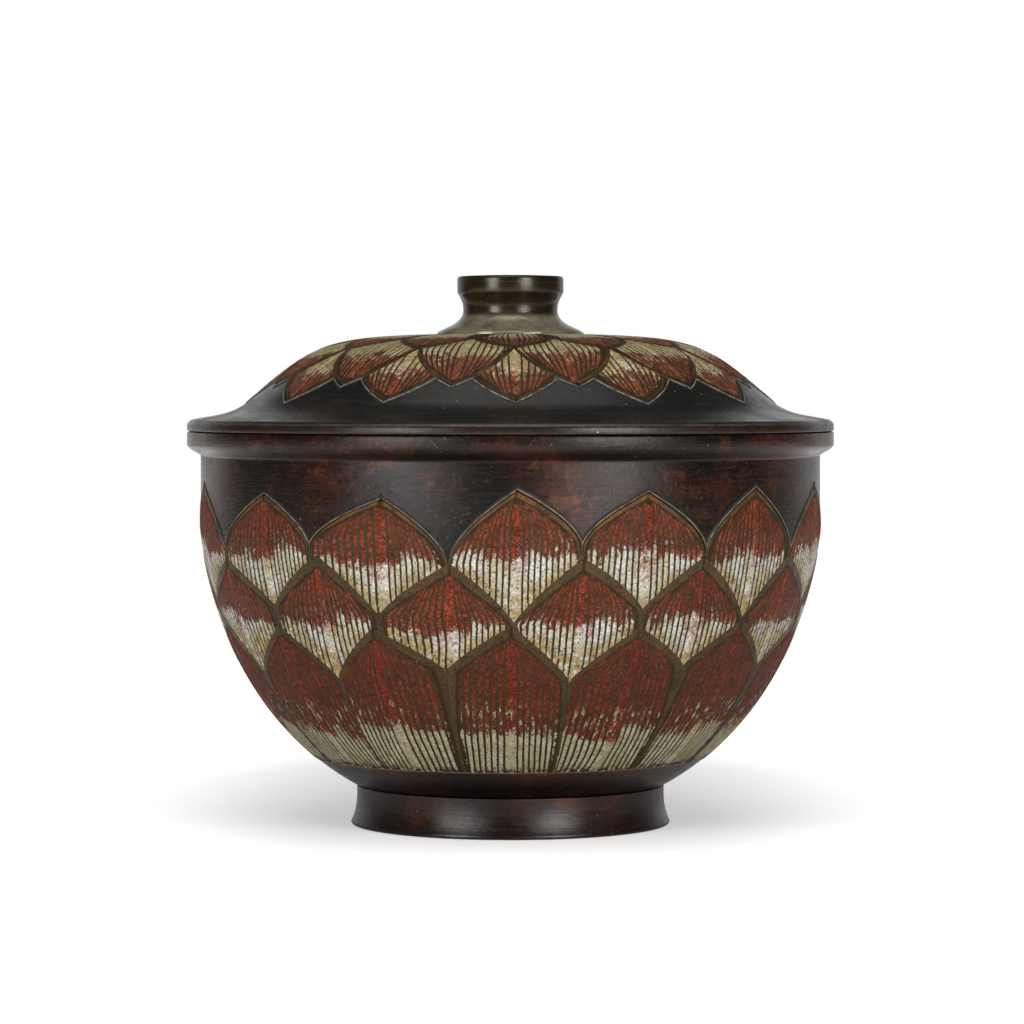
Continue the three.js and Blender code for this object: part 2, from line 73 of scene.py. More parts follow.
def makeSkin(points):
    # the outside of a wall, read by the distance along it
    points = np.array(points, float)
    points = points[np.r_[True, np.linalg.norm(np.diff(points, axis=0), axis=1) > 1e-7]]
    along = np.r_[0, np.cumsum(np.linalg.norm(np.diff(points, axis=0), axis=1))]
    tangent = np.gradient(points, along, axis=0)
    tangent /= np.linalg.norm(tangent, axis=1)[:, None]
    normal = np.c_[tangent[:, 1], -tangent[:, 0]]
    return {"points": points, "along": along, "normal": normal, "length": along[-1]}


def onSkin(skin, level, lift=0.0):
    r, z, nr, nz = (
        np.interp(level, skin["along"], column)
        for column in (*skin["points"].T, *skin["normal"].T)
    )
    return r + nr * lift, z + nz * lift


bowlSize = {
    "footHeight": 16.0 * mm,
    "footTopRadius": 62.0 * mm,
    "footRadius": 64.3 * mm,
    "footBore": 56.9 * mm,
    "footEdge": 0.9 * mm,
    "bellyTop": 120.6 * mm,
    "wallRadius": 124.5 * mm,
    "wallTop": 148.8 * mm,
    "bellyAngle": 28.6,
    "bellyPull": 64.2 * mm,
    "bellyTopPull": 5.4 * mm,
    "thickness": 4.5 * mm,
    "rimRadius": 130 * mm,
    "rimCone": (128.6 * mm, 151.1 * mm),
    "rimBand": 152.6 * mm,
    "rimTop": 158.1 * mm,
    "underside": 8.9 * mm,
    "boss": 14.4 * mm,
    "break": 0.6 * mm,
}
coverSize = {
    "face": 158.4 * mm,
    "faceRadius": 114 * mm,
    "bandTop": 161.0 * mm,
    "edge": (127.9 * mm, 162.9 * mm),
    "domeEdge": (105.5 * mm, 170.0 * mm),
    "crown": (36.5 * mm, 196.7 * mm),
    "flangeAngles": (12, 37.4),
    "flangePull": 9 * mm,
    "domeAngles": (42.1, 1.8),
    "domePulls": (30.1 * mm, 39.3 * mm),
    "thickness": 4 * mm,
    "hole": 5.3 * mm,
}


def slope(angle, pull):
    return np.array((math.cos(math.radians(angle)), -math.sin(math.radians(angle)))) * pull


s = bowlSize
bellyStart = np.array((s["footTopRadius"], s["footHeight"]))
bowlSkin = makeSkin([
    *bezier(
        bellyStart, bellyStart + slope(-s["bellyAngle"], s["bellyPull"]),
        (s["wallRadius"], s["bellyTop"] - s["bellyTopPull"]), (s["wallRadius"], s["bellyTop"]), steps=400,
    ),
    *straight((s["wallRadius"], s["bellyTop"]), (s["wallRadius"], s["wallTop"]), steps=60),
])
s = coverSize
coverEdge, domeEdge, crown = (np.array(s[k]) for k in ("edge", "domeEdge", "crown"))
flangeCurve = bezier(
    coverEdge, coverEdge - slope(s["flangeAngles"][0], s["flangePull"]),
    domeEdge + slope(s["flangeAngles"][1], s["flangePull"]), domeEdge, steps=120,
)
domeCurve = bezier(
    domeEdge, domeEdge - slope(s["domeAngles"][0], s["domePulls"][0]),
    crown + slope(s["domeAngles"][1], s["domePulls"][1]), crown, steps=300,
)
coverSkin = makeSkin([*flangeCurve, *domeCurve])
print("skin lengths", round(bowlSkin["length"] / mm, 2), round(coverSkin["length"] / mm, 2))


# Blender tools

def deselectAll():
    if bpy.context.object and bpy.context.object.mode != "OBJECT":
        bpy.ops.object.mode_set(mode="OBJECT")
    bpy.ops.object.select_all(action="DESELECT")


def editAll():
    bpy.ops.object.mode_set(mode="EDIT")
    bpy.ops.mesh.select_all(action="SELECT")


def closeEdit(smoothAngle):
    # faces outwards, and edges sharp above an angle in degrees
    bpy.ops.mesh.select_all(action="SELECT")
    bpy.ops.mesh.normals_make_consistent(inside=False)
    bpy.ops.object.mode_set(mode="OBJECT")
    bpy.ops.object.shade_smooth_by_angle(angle=math.radians(smoothAngle))


def turnedPiece(name, outline, segments, smoothAngle=35):
    # a point is extruded along the outline, and the outline is spun round the axis
    deselectAll()
    outline = [tuple(float(v) for v in p) for p in outline]
    bpy.ops.mesh.primitive_plane_add(size=0.001, location=(0, 0, 0))
    piece = bpy.context.object
    piece.name = piece.data.name = name
    editAll()
    bpy.ops.mesh.merge(type="CENTER")
    bpy.ops.transform.translate(value=(outline[0][0], 0, outline[0][1]))
    for a, b in zip(outline, outline[1:]):
        bpy.ops.mesh.extrude_region_move(TRANSFORM_OT_translate={"value": (b[0] - a[0], 0, b[1] - a[1])})
    bpy.ops.mesh.select_all(action="SELECT")
    bpy.ops.mesh.spin(steps=segments, angle=math.tau, center=(0, 0, 0), axis=(0, 0, 1))
    bpy.ops.mesh.select_all(action="SELECT")
    bpy.ops.mesh.remove_doubles(threshold=weld)
    closeEdit(smoothAngle)
    return piece


def fit(piece, body, slot, material, *nodes):
    piece.data.materials.clear()
    piece.data.materials.append(material)
    if nodes:
        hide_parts(*nodes)
    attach(piece, body)


def readValues(collection, key, kind=float, width=1):
    values = np.zeros(len(collection) * width, kind)
    collection.foreach_get(key, values)
    return values


def vertexArray(mesh):
    return readValues(mesh.vertices, "co", width=3).reshape(-1, 3)


def setAttribute(mesh, name, values, domain="POINT"):
    attribute = mesh.attributes.get(name) or mesh.attributes.new(name, "FLOAT", domain)
    attribute.data.foreach_set("value", np.asarray(values, np.float32))


# Procedural materials

def linear(colour):
    # the looks below give colours as seen, 0 to 255
    return tuple(((v / 255 + 0.055) / 1.055) ** 2.4 if v > 10 else v / 255 / 12.92 for v in colour) + (1.0,)


class Shading:
    # adds nodes to a tree; most methods give back an output of the node they add, and place is where
    # noises are read
    def __init__(self, tree, last, place="Object"):
        self.tree, self.last = tree, tree.nodes[last]
        self.place = self.add("TexCoord").outputs[place]

    def connect(self, socket, value):
        if isinstance(value, bpy.types.NodeSocket):
            self.tree.links.new(value, socket)
        else:
            socket.default_value = value

    def add(self, kind, values=None, **settings):
        made = self.tree.nodes.new("ShaderNode" + kind)
        for key, value in settings.items():
            setattr(made, key, value)
        for key, value in (values or {}).items():
            self.connect(made.inputs[key], value)
        return made

    def put(self, name, value):
        # an input of the tree's own shader
        self.connect(self.last.inputs[name], value)

    def calc(self, operation, a, b=0.0, c=0.0, clamp=False):
        return self.add("Math", {0: a, 1: b, 2: c}, operation=operation, use_clamp=clamp).outputs[0]

    def plus(self, a, b):
        return self.calc("ADD", a, b)

    def times(self, *values):
        total = values[0]
        for value in values[1:]:
            total = self.calc("MULTIPLY", total, value)
        return total

    def most(self, *values):
        return self.calc("MAXIMUM", *values)

    def noise(self, size, detail, roughness=0.55, offset=0.0, place=None, distortion=0.0):
        # size is the width of its largest features, in metres, or in mm on a petal
        place = place or self.place
        if offset:
            place = self.add("VectorMath", {0: place, 1: (offset,) * 3}, operation="ADD").outputs[0]
        values = {"Vector": place, "Scale": 1 / size, "Detail": detail, "Roughness": roughness}
        return self.add("TexNoise", {**values, "Distortion": distortion}).outputs["Fac"]

    def ramp(self, value, low, high, outLow=0.0, outHigh=1.0):
        values = {"Value": value, "From Min": low, "From Max": high, "To Min": outLow, "To Max": outHigh}
        return self.add("MapRange", values, interpolation_type="SMOOTHSTEP").outputs[0]

    def either(self, value, reach):
        # a noise as a distance, up to half the reach to either side
        return self.ramp(value, 0.32, 0.68, -reach / 2, reach / 2)

    def mix(self, share, *colours):
        a, b = (linear(c) if isinstance(c, tuple) else c for c in colours)
        return self.add("Mix", {0: share, 6: a, 7: b}, data_type="RGBA").outputs[2]

    def grained(self, colour, value, low, high):
        # a colour made darker and lighter by a noise
        scale = self.ramp(value, 0.3, 0.7, low, high)
        return self.add("VectorMath", {0: colour, "Scale": scale}, operation="SCALE").outputs[0]

    def stored(self, name, output="Fac"):
        return self.add("Attribute", attribute_name=name, attribute_type="GEOMETRY").outputs[output]

    def part(self, axis):
        return self.add("SeparateXYZ", {"Vector": self.place}).outputs[axis]

    def turned(self, turn, size):
        # a place turned by an angle, and then stretched
        values = {"Vector": self.place, "Rotation": turn, "Scale": size}
        return self.add("Mapping", values, vector_type="TEXTURE").outputs[0]

    def slanted(self, angle, width, length):
        return self.turned((0, 0, math.radians(angle)), (width, length, 1.0))

    def bump(self, height, strength, distance):
        values = {"Height": height, "Strength": strength, "Distance": distance}
        self.put("Normal", self.add("Bump", values).outputs[0])

    def seenRays(self):
        # rays that show the background: from the camera, or mirrored or let through by the object
        path = self.add("LightPath").outputs
        return path["Is Camera Ray"], self.most(path["Is Glossy Ray"], path["Is Transmission Ray"])


def newMaterial(name):
    material = bpy.data.materials.new(name)
    material.use_nodes = True
    return material, Shading(material.node_tree, "Principled BSDF")


# Each bronze gives only what differs. A scratch turn is an angle and an offset of its noise, and a level
# is two heights, the colour between them and its share.
patinaLook = {
    "marks": 0.4, "scratchTurns": ((28, 2.0), (-42, 6.0), (74, 9.0)),
    "scratchSize": (0.0005, 0.0005, 0.014), "scratchFade": (0.082, 0.095), "speck": (190, 180, 165),
    "specks": 0.5, "levels": (), "amberShare": 0.6, "cloudSize": 0.05, "cloudRange": (0.42, 0.66),
    "mottleSize": 0.012, "metallic": 0.3, "specular": 0.5, "bump": 0.2,
}


def scratches(m, look, angle, offset):
    # fine straight scratches on the wall, slanted by an angle; one set faces front and back, one the sides
    found = []
    for axis, turn in (("Y", (0, math.radians(angle), 0)), ("X", (math.radians(angle), 0, 0))):
        lines = m.noise(1.0, 0.0, 0.5, offset, m.turned(turn, look["scratchSize"]))
        facing = m.ramp(m.calc("ABSOLUTE", m.part(axis)), *look["scratchFade"])
        found.append(m.times(m.ramp(lines, 0.70, 0.82), facing))
    return m.times(m.most(*found), m.ramp(m.noise(0.03, 3, offset=offset), 0.46, 0.60), look["scratches"])


def patina(name, own):
    # dark patinated bronze: black-brown clouds, red-brown and amber wear, turning marks and scratches
    look = {**patinaLook, **own}
    material, m = newMaterial(name)
    clouds = m.ramp(m.noise(look["cloudSize"], 5, 0.62, distortion=0.8), *look["cloudRange"])
    mottle = m.ramp(m.noise(look["mottleSize"], 6, 0.75, 3.1), 0.38, 0.64)
    stretched = m.add("Mapping", {"Vector": m.place, "Scale": (1, 1, 14)}).outputs[0]
    turning = m.noise(0.016, 6, 0.72, place=stretched)
    warmShare = m.times(clouds, m.ramp(mottle, 0, 1, 0.3, 1.0), m.ramp(turning, 0.3, 0.6, 0.55, 1.0))
    colour = m.mix(warmShare, look["dark"], look["warm"])
    amber = m.ramp(m.noise(0.012, 6, 0.78, 7.7, distortion=1.2), 0.53, 0.64)
    colour = m.mix(m.times(amber, clouds, look["amberShare"]), colour, look["amber"])
    m.put("Specular IOR Level", look["specular"])
    # grey near the top row's outlines: painted shade beside the petals and in the V's between them, over a
    # grey burnish
    if "burnishAndShade" in look:
        uneven = m.ramp(m.noise(0.012, 5, 0.6, 1.3), 0.25, 0.6, 0.55, 1.0)
        near = m.times(m.stored("burnishAndShade"), uneven)
        colour = m.mix(near, colour, look["burnishAndShade"])
        m.put("Specular IOR Level", m.ramp(near, 0, 1, look["specular"], look["specular"] * 0.5))
    colour = m.mix(m.ramp(turning, 0.52, 0.78, 0, look["marks"]), colour, look["mark"])
    for angle, offset in look["scratchTurns"]:
        colour = m.mix(scratches(m, look, angle, offset), colour, look["scratch"])
    if "bead" in look:
        bead = m.times(m.stored("bead"), m.ramp(m.noise(0.006, 5, 0.7), 0.38, 0.5, 0.3, 1.0))
        colour = m.mix(bead, colour, look["bead"])
    # a level recolours a band of heights; some levels are painted shade or painted light, as said at each
    # bronze
    for low, high, light, share in look["levels"]:
        height, soft = m.part("Z"), 0.15 * (high - low)
        inside = m.times(m.ramp(height, low - soft, low + soft), m.ramp(height, high + soft, high - soft))
        inside = m.times(inside, share, m.ramp(m.noise(0.010, 5, 0.7, 6.6), 0.3, 0.6, 0.45, 1.0))
        colour = m.mix(inside, colour, light)
    colour = m.grained(colour, m.noise(0.0014, 4, 0.7, 4.4), 0.78, 1.16)
    speck = m.ramp(m.noise(0.0014, 2, 0.5, 5.5), 0.75, 0.79)
    m.put("Base Color", m.mix(m.times(speck, look["specks"]), colour, look["speck"]))
    rough = m.ramp(m.noise(0.025, 5, 0.6, 2.2), 0.3, 0.7, *look["roughness"])
    m.put("Roughness", m.plus(rough, m.ramp(turning, 0.3, 0.7, -0.05, 0.05)))
    m.put("Metallic", look["metallic"])
    m.bump(m.plus(m.times(turning, 0.8), m.noise(0.0035, 6, 0.72)), look["bump"], 0.6 * mm)
    return material


bowlBronze = patina("bowlBronze", {
    "dark": (16, 8, 5), "warm": (70, 31, 13), "amber": (98, 56, 20), "amberShare": 0.75,
    # the grey near the petals is painted shade beside them and in the V's between them, over a grey burnish
    "burnishAndShade": (38, 35, 34), "mark": (62, 50, 42), "marks": 0.35, "scratch": (140, 112, 88),
    # the one level darkens the base from 9 to 24.5 mm up: painted shade under the overhanging belly
    "scratches": 0.22, "bead": (150, 104, 80), "levels": ((0.009, 0.0245, (15, 8, 6), 0.9),),
    "cloudRange": (0.41, 0.57), "mottleSize": 0.011, "roughness": (0.16, 0.28), "specular": 0.42,
    "specks": 0.6, "bump": 0.3,
})
footBronze = patina("footBronze", {
    "dark": (32, 20, 18), "warm": (74, 36, 24), "amber": (98, 50, 24), "mark": (86, 66, 56),
    "scratch": (110, 74, 48), "scratches": 0.4, "cloudSize": 0.045, "roughness": (0.25, 0.38),
    "specular": 0.55,
})
coverBronze = patina("coverBronze", {
    # its grey is lightened a little as a painted sheen of the side lamps, over a dark slate patina
    "dark": (33, 32, 31), "warm": (52, 42, 35), "amber": (70, 52, 36), "amberShare": 0.3,
    "mark": (84, 82, 79), "marks": 0.45, "scratch": (96, 90, 80), "scratches": 0.35,
    # the first level, a light line on the band's rolled top edge, is a painted highlight over a lighter worn
    # edge; the second is a red-brown tint
    "levels": ((0.1614, 0.1622, (104, 92, 78), 0.6), (0.1583, 0.1608, (52, 34, 24), 0.7)),
    "roughness": (0.19, 0.32), "specular": 0.45, "specks": 0.9,
})
knobBronze = patina("knobBronze", {
    "dark": (44, 34, 20), "warm": (76, 58, 32), "amber": (96, 72, 36), "amberShare": 0.4,
    "mark": (104, 92, 70), "marks": 0.3, "scratch": (130, 110, 76), "scratches": 0.3,
    # the light level on the skirt and lower neck is painted light where they face up, over a grey-olive tone
    "levels": ((0.1955, 0.2045, (158, 150, 128), 0.95),), "cloudSize": 0.03, "cloudRange": (0.40, 0.62),
    "mottleSize": 0.008, "roughness": (0.17, 0.26), "metallic": 0.35, "specular": 0.6, "bump": 0.1,
})
bareBronze = patina("bareBronze", {
    "dark": (96, 72, 44), "warm": (138, 104, 62), "amber": (90, 58, 30),
    "mark": (170, 136, 88), "marks": 0.5, "scratch": (190, 160, 110), "scratches": 0.5,
    "cloudSize": 0.03, "cloudRange": (0.4, 0.62), "mottleSize": 0.01, "roughness": (0.34, 0.5),
    "metallic": 0.9, "specks": 0.2,
})


# limit is the depth in mm at which red gives way to white
petalBronzeLook = {
    "olive": (82, 64, 38), "dark": (57, 44, 26), "light": (96, 79, 50), "rib": (56, 44, 23),
    "redRib": (56, 40, 22), "amber": (124, 74, 22), "amberRange": (0.42, 0.58),
    "soot": (34, 28, 20), "groove": (16, 12, 10), "lipPlace": 0.12, "lipWidth": 0.24, "lip": 0.9,
    "lipColour": (168, 164, 142), "slate": (34, 32, 33), "paleSlate": (56, 54, 52),
}


def petalBronze(name, own):
    # olive-brown borders and ribs, amber near the tips, and round bare petals a pale lip, a painted highlight
    # over a burnished crest, and a groove darkened by painted shade
    look = {**petalBronzeLook, **own}
    material, m = newMaterial(name)
    inset, depth, bare = (m.stored(n) for n in ("inset", "depth", "bareEdge"))
    m.place = m.stored("petalPlace", "Vector")
    colour = m.mix(m.ramp(m.noise(9, 5, 0.6), 0.36, 0.64), look["olive"], look["dark"])
    fibres = m.noise(1, 5, 0.7, 4.0, m.slanted(0, 2.6, 0.7))
    colour = m.mix(m.ramp(fibres, 0.42, 0.68, 0, 0.6), colour, look["light"])
    amber = m.times(
        m.ramp(m.noise(8, 4, 0.65, 9.0), *look["amberRange"]), m.ramp(inset, 4.9, 2.6),
        m.ramp(depth, 27, 16), look["amberShare"],
    )
    colour = m.mix(amber, colour, look["amber"])
    ribs = m.ramp(inset, 4.92, 4.98)
    colour = m.mix(m.times(ribs, 0.5), colour, look["redRib"])
    rootward = m.ramp(depth, look["limit"] - 5, look["limit"] + 3)
    colour = m.mix(m.times(ribs, rootward), colour, look["rib"])
    soot = m.times(m.ramp(m.noise(1.2, 3, 0.75, 2.0), 0.56, 0.63), 0.75)
    colour = m.mix(soot, colour, look["soot"])
    colour = m.grained(colour, m.noise(1.0, 3, 0.8, 7.0), 0.6, 1.4)
    # the grey outside the outline matches the wall's halo: painted shade beside the petal, over a grey
    # burnish
    slate = m.mix(m.ramp(m.noise(5, 5, 0.65, 3.0), 0.35, 0.65), look["slate"], look["paleSlate"])
    colour = m.mix(m.ramp(inset, 0.0, -0.25), colour, slate)
    # the groove inside the lip is darkened with painted shade
    groove = m.times(bare, m.ramp(inset, 0.10, 0.20), m.ramp(inset, 0.72, 0.56))
    colour = m.mix(groove, colour, look["groove"])
    # the pale crest of the lip is a painted highlight over a burnished edge
    fromCrest = m.calc("ABSOLUTE", m.plus(inset, look["lipPlace"]))
    crest = m.ramp(fromCrest, look["lipWidth"], look["lipWidth"] * 0.4)
    worn = m.times(bare, crest, m.ramp(m.noise(3.0, 5, 0.8, 6.0), 0.38, 0.60, 0.15, 1.0))
    m.put("Base Color", m.mix(m.times(worn, look["lip"]), colour, look["lipColour"]))
    m.put("Roughness", m.ramp(m.noise(4, 4, 0.6), 0.3, 0.7, 0.38, 0.58))
    m.put("Metallic", 0.1)
    m.put("Specular IOR Level", 0.25)
    m.bump(m.plus(fibres, m.noise(1.2, 5, 0.8)), 0.45, 0.4 * mm)
    return material


topBronze = petalBronze("topPetalBronze", {"amberShare": 0.75, "limit": 25})
middleBronze = petalBronze("middlePetalBronze", {"amberShare": 0.12, "limit": 25})
bottomBronze = petalBronze("bottomPetalBronze", {"rib": (45, 35, 19), "amberShare": 0.08, "limit": 48})
coverPetalBronze = petalBronze("coverPetalBronze", {
    "olive": (66, 53, 32), "dark": (42, 34, 22), "light": (84, 68, 40), "rib": (48, 39, 22),
    "amberRange": (0.5, 0.6), "amber": (112, 72, 22), "amberShare": 0.5, "limit": 60, "lipPlace": 0.2,
    "lipWidth": 0.38, "lipColour": (158, 156, 146),
})


enamelLook = {
    "red": (140, 55, 29), "darkRed": (100, 41, 22), "wornRed": (62, 42, 26),
    "pink": (186, 112, 92), "white": (231, 229, 220), "cream": (208, 199, 166),
    "yellow": (176, 148, 86), "stain": (150, 124, 76), "stains": 0.6, "pit": (58, 48, 34),
    "speck": (40, 31, 22), "bronze": (58, 42, 21), "blot": (40, 35, 28), "spread": 4.0,
    "smear": 7.0, "ragged": 4.0, "wash": 8.0, "strokes": 8.0, "windows": 3.0, "bareSpread": 2.2,
}


def enamelMaterial(name, own):
    # red at the tip and white at the root, laid on strip by strip and worn through in specks
    look = {**enamelLook, **own}
    material, m = newMaterial(name)
    depth, edge, nextEdge, top, tone = map(m.stored, ("depth", "edge", "nextEdge", "top", "stripTone"))
    m.place = m.stored("petalPlace", "Vector")
    middle = m.ramp(m.calc("ABSOLUTE", m.part("X")), 7.5, 4.0)
    second, third = (m.calc("FRACT", m.times(tone, scale)) for scale in (7.31, 13.7))  # more random values
    ragged, grit = m.noise(2.2, 5, 0.8, 8.0), m.noise(0.8, 5, 0.85, 5.0)
    limit = m.calc("MULTIPLY_ADD", tone, look["spread"], look["limit"] - look["spread"] / 2)
    limit = m.plus(limit, m.either(m.noise(15, 3, 0.55, 2.0), look["smear"]))
    limit = m.plus(limit, m.plus(m.either(ragged, look["ragged"]), m.either(grit, look["ragged"] * 0.6)))
    above = m.calc("SUBTRACT", limit, depth)  # mm of red still to come
    reach = m.times(m.calc("MULTIPLY_ADD", second, 0.6, 0.4), middle, look["wash"])
    flakes = m.ramp(m.noise(1.5, 5, 0.85, 27.0), 0.46, 0.56)
    wash = m.times(m.ramp(m.plus(above, reach), -0.6, 0.6), flakes, 0.8)
    strokes = m.ramp(m.noise(1, 4, 0.7, 12.0, m.slanted(48, 1.3, 6.0)), 0.54, 0.59)
    strokes = m.times(strokes, m.ramp(above, -look["strokes"], 1.5 - look["strokes"]), middle, 0.85)
    redShare = m.most(m.ramp(above, -0.35, 0.35), m.most(wash, strokes))
    windows = m.ramp(m.noise(1, 4, 0.75, 20.0, m.slanted(0, 2.0, 5.0)), 0.54, 0.60)
    windows = m.times(windows, m.ramp(above, look["windows"], look["windows"] * 0.6))
    rubbed = m.times(m.ramp(grit, 0.57, 0.65), m.ramp(above, 16, 0.5, 0.2, 0.95))
    redShare = m.times(redShare, m.calc("SUBTRACT", 1.0, m.most(windows, rubbed)))

    white = m.mix(m.ramp(m.noise(9, 5, 0.65, 5.0), 0.38, 0.62), look["white"], look["cream"])
    yellow = m.times(m.ramp(nextEdge, 6.0, 0.3), m.ramp(m.noise(3.5, 5, 0.7, 3.0), 0.34, 0.56), 0.9)
    white = m.mix(yellow, white, look["yellow"])
    stains = m.times(m.ramp(m.noise(2.6, 6, 0.8, 14.0), 0.54, 0.66), look["stains"])
    white = m.mix(stains, white, look["stain"])
    white = m.grained(white, m.noise(1.1, 3, 0.85, 16.0), 0.6, 1.2)
    pits = m.ramp(m.noise(1.2, 3, 0.75, 1.0), 0.585, 0.64)
    white = m.mix(m.times(pits, 0.85), white, look["pit"])
    red = m.mix(m.ramp(m.noise(7, 5, 0.7, 6.0), 0.36, 0.64), look["red"], look["darkRed"])
    red = m.mix(m.ramp(above, 0.5, -2.5, 0.0, 0.6), red, look["pink"])
    red = m.grained(red, m.noise(1.7, 4, 0.85, 17.0), 0.35, 1.75)
    worn = m.ramp(m.noise(1, 4, 0.85, 19.0, m.slanted(0, 1.1, 2.4)), 0.52, 0.60)
    red = m.mix(m.times(worn, 0.8), red, look["wornRed"])
    flecks = m.ramp(m.noise(1.2, 3, 0.75, 37.0), 0.61, 0.67)
    red = m.mix(m.times(flecks, 0.55), red, look["pink"])
    colour = m.mix(redShare, white, red)
    specks = m.ramp(m.noise(1.3, 2, 0.7, 31.0), 0.63, 0.68)
    colour = m.mix(m.times(specks, 0.75), colour, look["speck"])

    # bronze shows between the strips and where a strip gives out
    giveOut = m.plus(m.calc("MULTIPLY_ADD", third, look["bareSpread"], 0.25), m.either(ragged, 1.2))
    ribSide = m.ramp(m.plus(top, m.either(grit, 0.5)), 0.86, 0.66)
    bare = m.most(m.ramp(m.calc("SUBTRACT", edge, giveOut), 0.15, -0.15), ribSide)
    colour = m.mix(bare, colour, look["bronze"])
    if "root" in look:
        blots = m.ramp(m.noise(2.4, 4, 0.7, 23.0), 0.42, 0.52)
        blots = m.times(m.ramp(depth, look["root"] - 5, look["root"] - 0.5), blots)
        colour = m.mix(blots, colour, look["blot"])
    m.put("Base Color", colour)
    m.put("Roughness", m.ramp(m.noise(2.5, 4, 0.6), 0.3, 0.7, 0.40, 0.68))
    m.put("Specular IOR Level", 0.15)
    m.bump(m.calc("SUBTRACT", m.plus(grit, ragged), m.times(pits, 0.8)), 0.6, 0.5 * mm)
    return material


# Lotus petals. A petal is drawn flat, as across, depth from its tip, and lift off the wall,
# and each copy is then bent on to the wall.

petalCut = {
    "steps": 34, "samples": (900, 300), "tipCrowding": 1.25, "smoothAngle": 42, "sunk": 1.2 * mm,
    "sideGap": 0.03 * mm, "ribShare": 0.31, "ribTop": -0.08 * mm, "ribTopShare": 0.82, "ribMargin": 0.9 * mm,
    "ribEnd": 0.3 * mm, "ribFade": (5, 7), "ribCurve": (0.15, 0.65), "lean": 1.2 * mm, "leanReach": 2.6 * mm,
    "pocket": 0.42 * mm, "pocketEdge": 0.12 * mm, "enamelRise": 0.05 * mm, "valley": -0.36 * mm,
    "enamelEdge": 0.06 * mm, "enamelThickness": 0.5 * mm, "ragged": 0.16, "blurred": 0.6,
    "sideShare": 0.8, "tipShare": 0.85,  # of a distance to the field's edge, seen across and along
    "farAway": 20, "guard": 0.5 * mm, "strips": 20,  # most strips on either side of a petal's middle
}
borderInset, pocketInset, ribInset = 3.0, 4.8, 5.0  # how the material knows the border, pocket and ribs


def lobe(row, share):
    # half a petal's width as a share of half the pitch, from its tip to its shoulder
    first, last = row["slopes"]
    share = np.clip(share, 0, 1)
    b, c = 3 - 2 * first - last, first + last - 2
    return ((c * share + b) * share + first) * share


def levelAt(row, depth):
    return row["tip"] - depth * row["pointing"]


def radiusAt(row, depth):
    return onSkin(row["skin"], levelAt(row, depth))[0]


def halfPitchAt(row, depth):
    return row["halfPitch"] * radiusAt(row, depth)


def halfWidth(row, depth):
    return lobe(row, depth / row["length"]) * halfPitchAt(row, depth)


def faceLift(row, depth):
    places, lifts = zip(*row["lift"])
    return np.interp(depth / mm, places, lifts) * mm


def offsetLoop(row, inset):
    # an edge from its tip on the middle line to its end, moved in by a distance for each depth, or out
    # by a negative one
    sides = []
    shoulder, (sideCount, straightCount) = row["length"], petalCut["samples"]
    straightDepths = np.linspace(shoulder + 0.001 * mm, row["end"], straightCount)
    for dense in (np.linspace(0, shoulder, sideCount), straightDepths):
        across = halfWidth(row, dense)
        run = np.gradient(across, dense)
        normal = np.c_[-np.ones_like(run), run] / np.hypot(1, run)[:, None]
        move = inset(dense)
        moved = np.c_[across, dense] + normal * move[:, None]
        if not sides and move[0] < 0:
            moved = np.vstack([[0, move[0] * math.hypot(1, run[0])], moved])
        sides.append(moved)
    side, straightPart = sides
    first = int(np.argmax(side[:, 0] > 0))
    if first:
        a, b = side[first - 1], side[first]
        tip = a + (b - a) * (-a[0] / (b[0] - a[0]))
        side = np.vstack([[0, tip[1]], side[first:]])
    side = side[np.argsort(side[:, 1], kind="stable")]
    onward = side[-1] + (side[-1] - side[-40]) * 100  # the side goes on until the straight part cuts it
    side = np.vstack([side, onward])
    share = (np.arange(petalCut["steps"] + 1) / petalCut["steps"]) ** petalCut["tipCrowding"]
    depth = side[0, 1] + (row["end"] - side[0, 1]) * share
    across = np.minimum(*(np.interp(depth, line[:, 1], line[:, 0]) for line in (side, straightPart)))
    room = halfPitchAt(row, np.maximum(depth, 0)) - petalCut["sideGap"]
    return np.c_[np.clip(across, 0, room), depth]


def makeRow(name, facts):
    row = {"name": name, "halfPitch": math.pi / facts["petals"], **facts}
    places, widths = zip(*row["border"])
    row["field"] = offsetLoop(row, lambda depth: np.interp(depth / mm, places, widths) * mm)
    return row


def ribLines(row, depth):
    # the ribs' middle lines and half widths at each depth; a rib that would leave the field is left out
    field = np.interp(depth, row["field"][:, 1], row["field"][:, 0])
    widest = row["field"][:, 0].max()
    first, spacing = (value * mm for value in row["ribs"])
    places = np.arange(first, widest - petalCut["ribMargin"], spacing) / widest
    least, more = petalCut["ribCurve"]
    lines = places * widest * (field[:, None] / widest) ** (least + more * places)
    before = np.diff(np.c_[-lines[:, :1], lines], axis=1)
    after = np.c_[before[:, 1:], before[:, -1:]]
    redWidth, whiteWidth = (width * mm for width in row["ribHalf"])
    fadeBefore, fade = petalCut["ribFade"]
    share = np.clip((depth / mm - row["limit"] + fadeBefore) / fade, 0, 1)[:, None]
    room = petalCut["ribShare"] * np.minimum(before, after)
    half = np.minimum(redWidth + (whiteWidth - redWidth) * share, room)
    seen = lines + half < field[:, None] - petalCut["ribEnd"]
    return lines, half, seen, field[:, None]


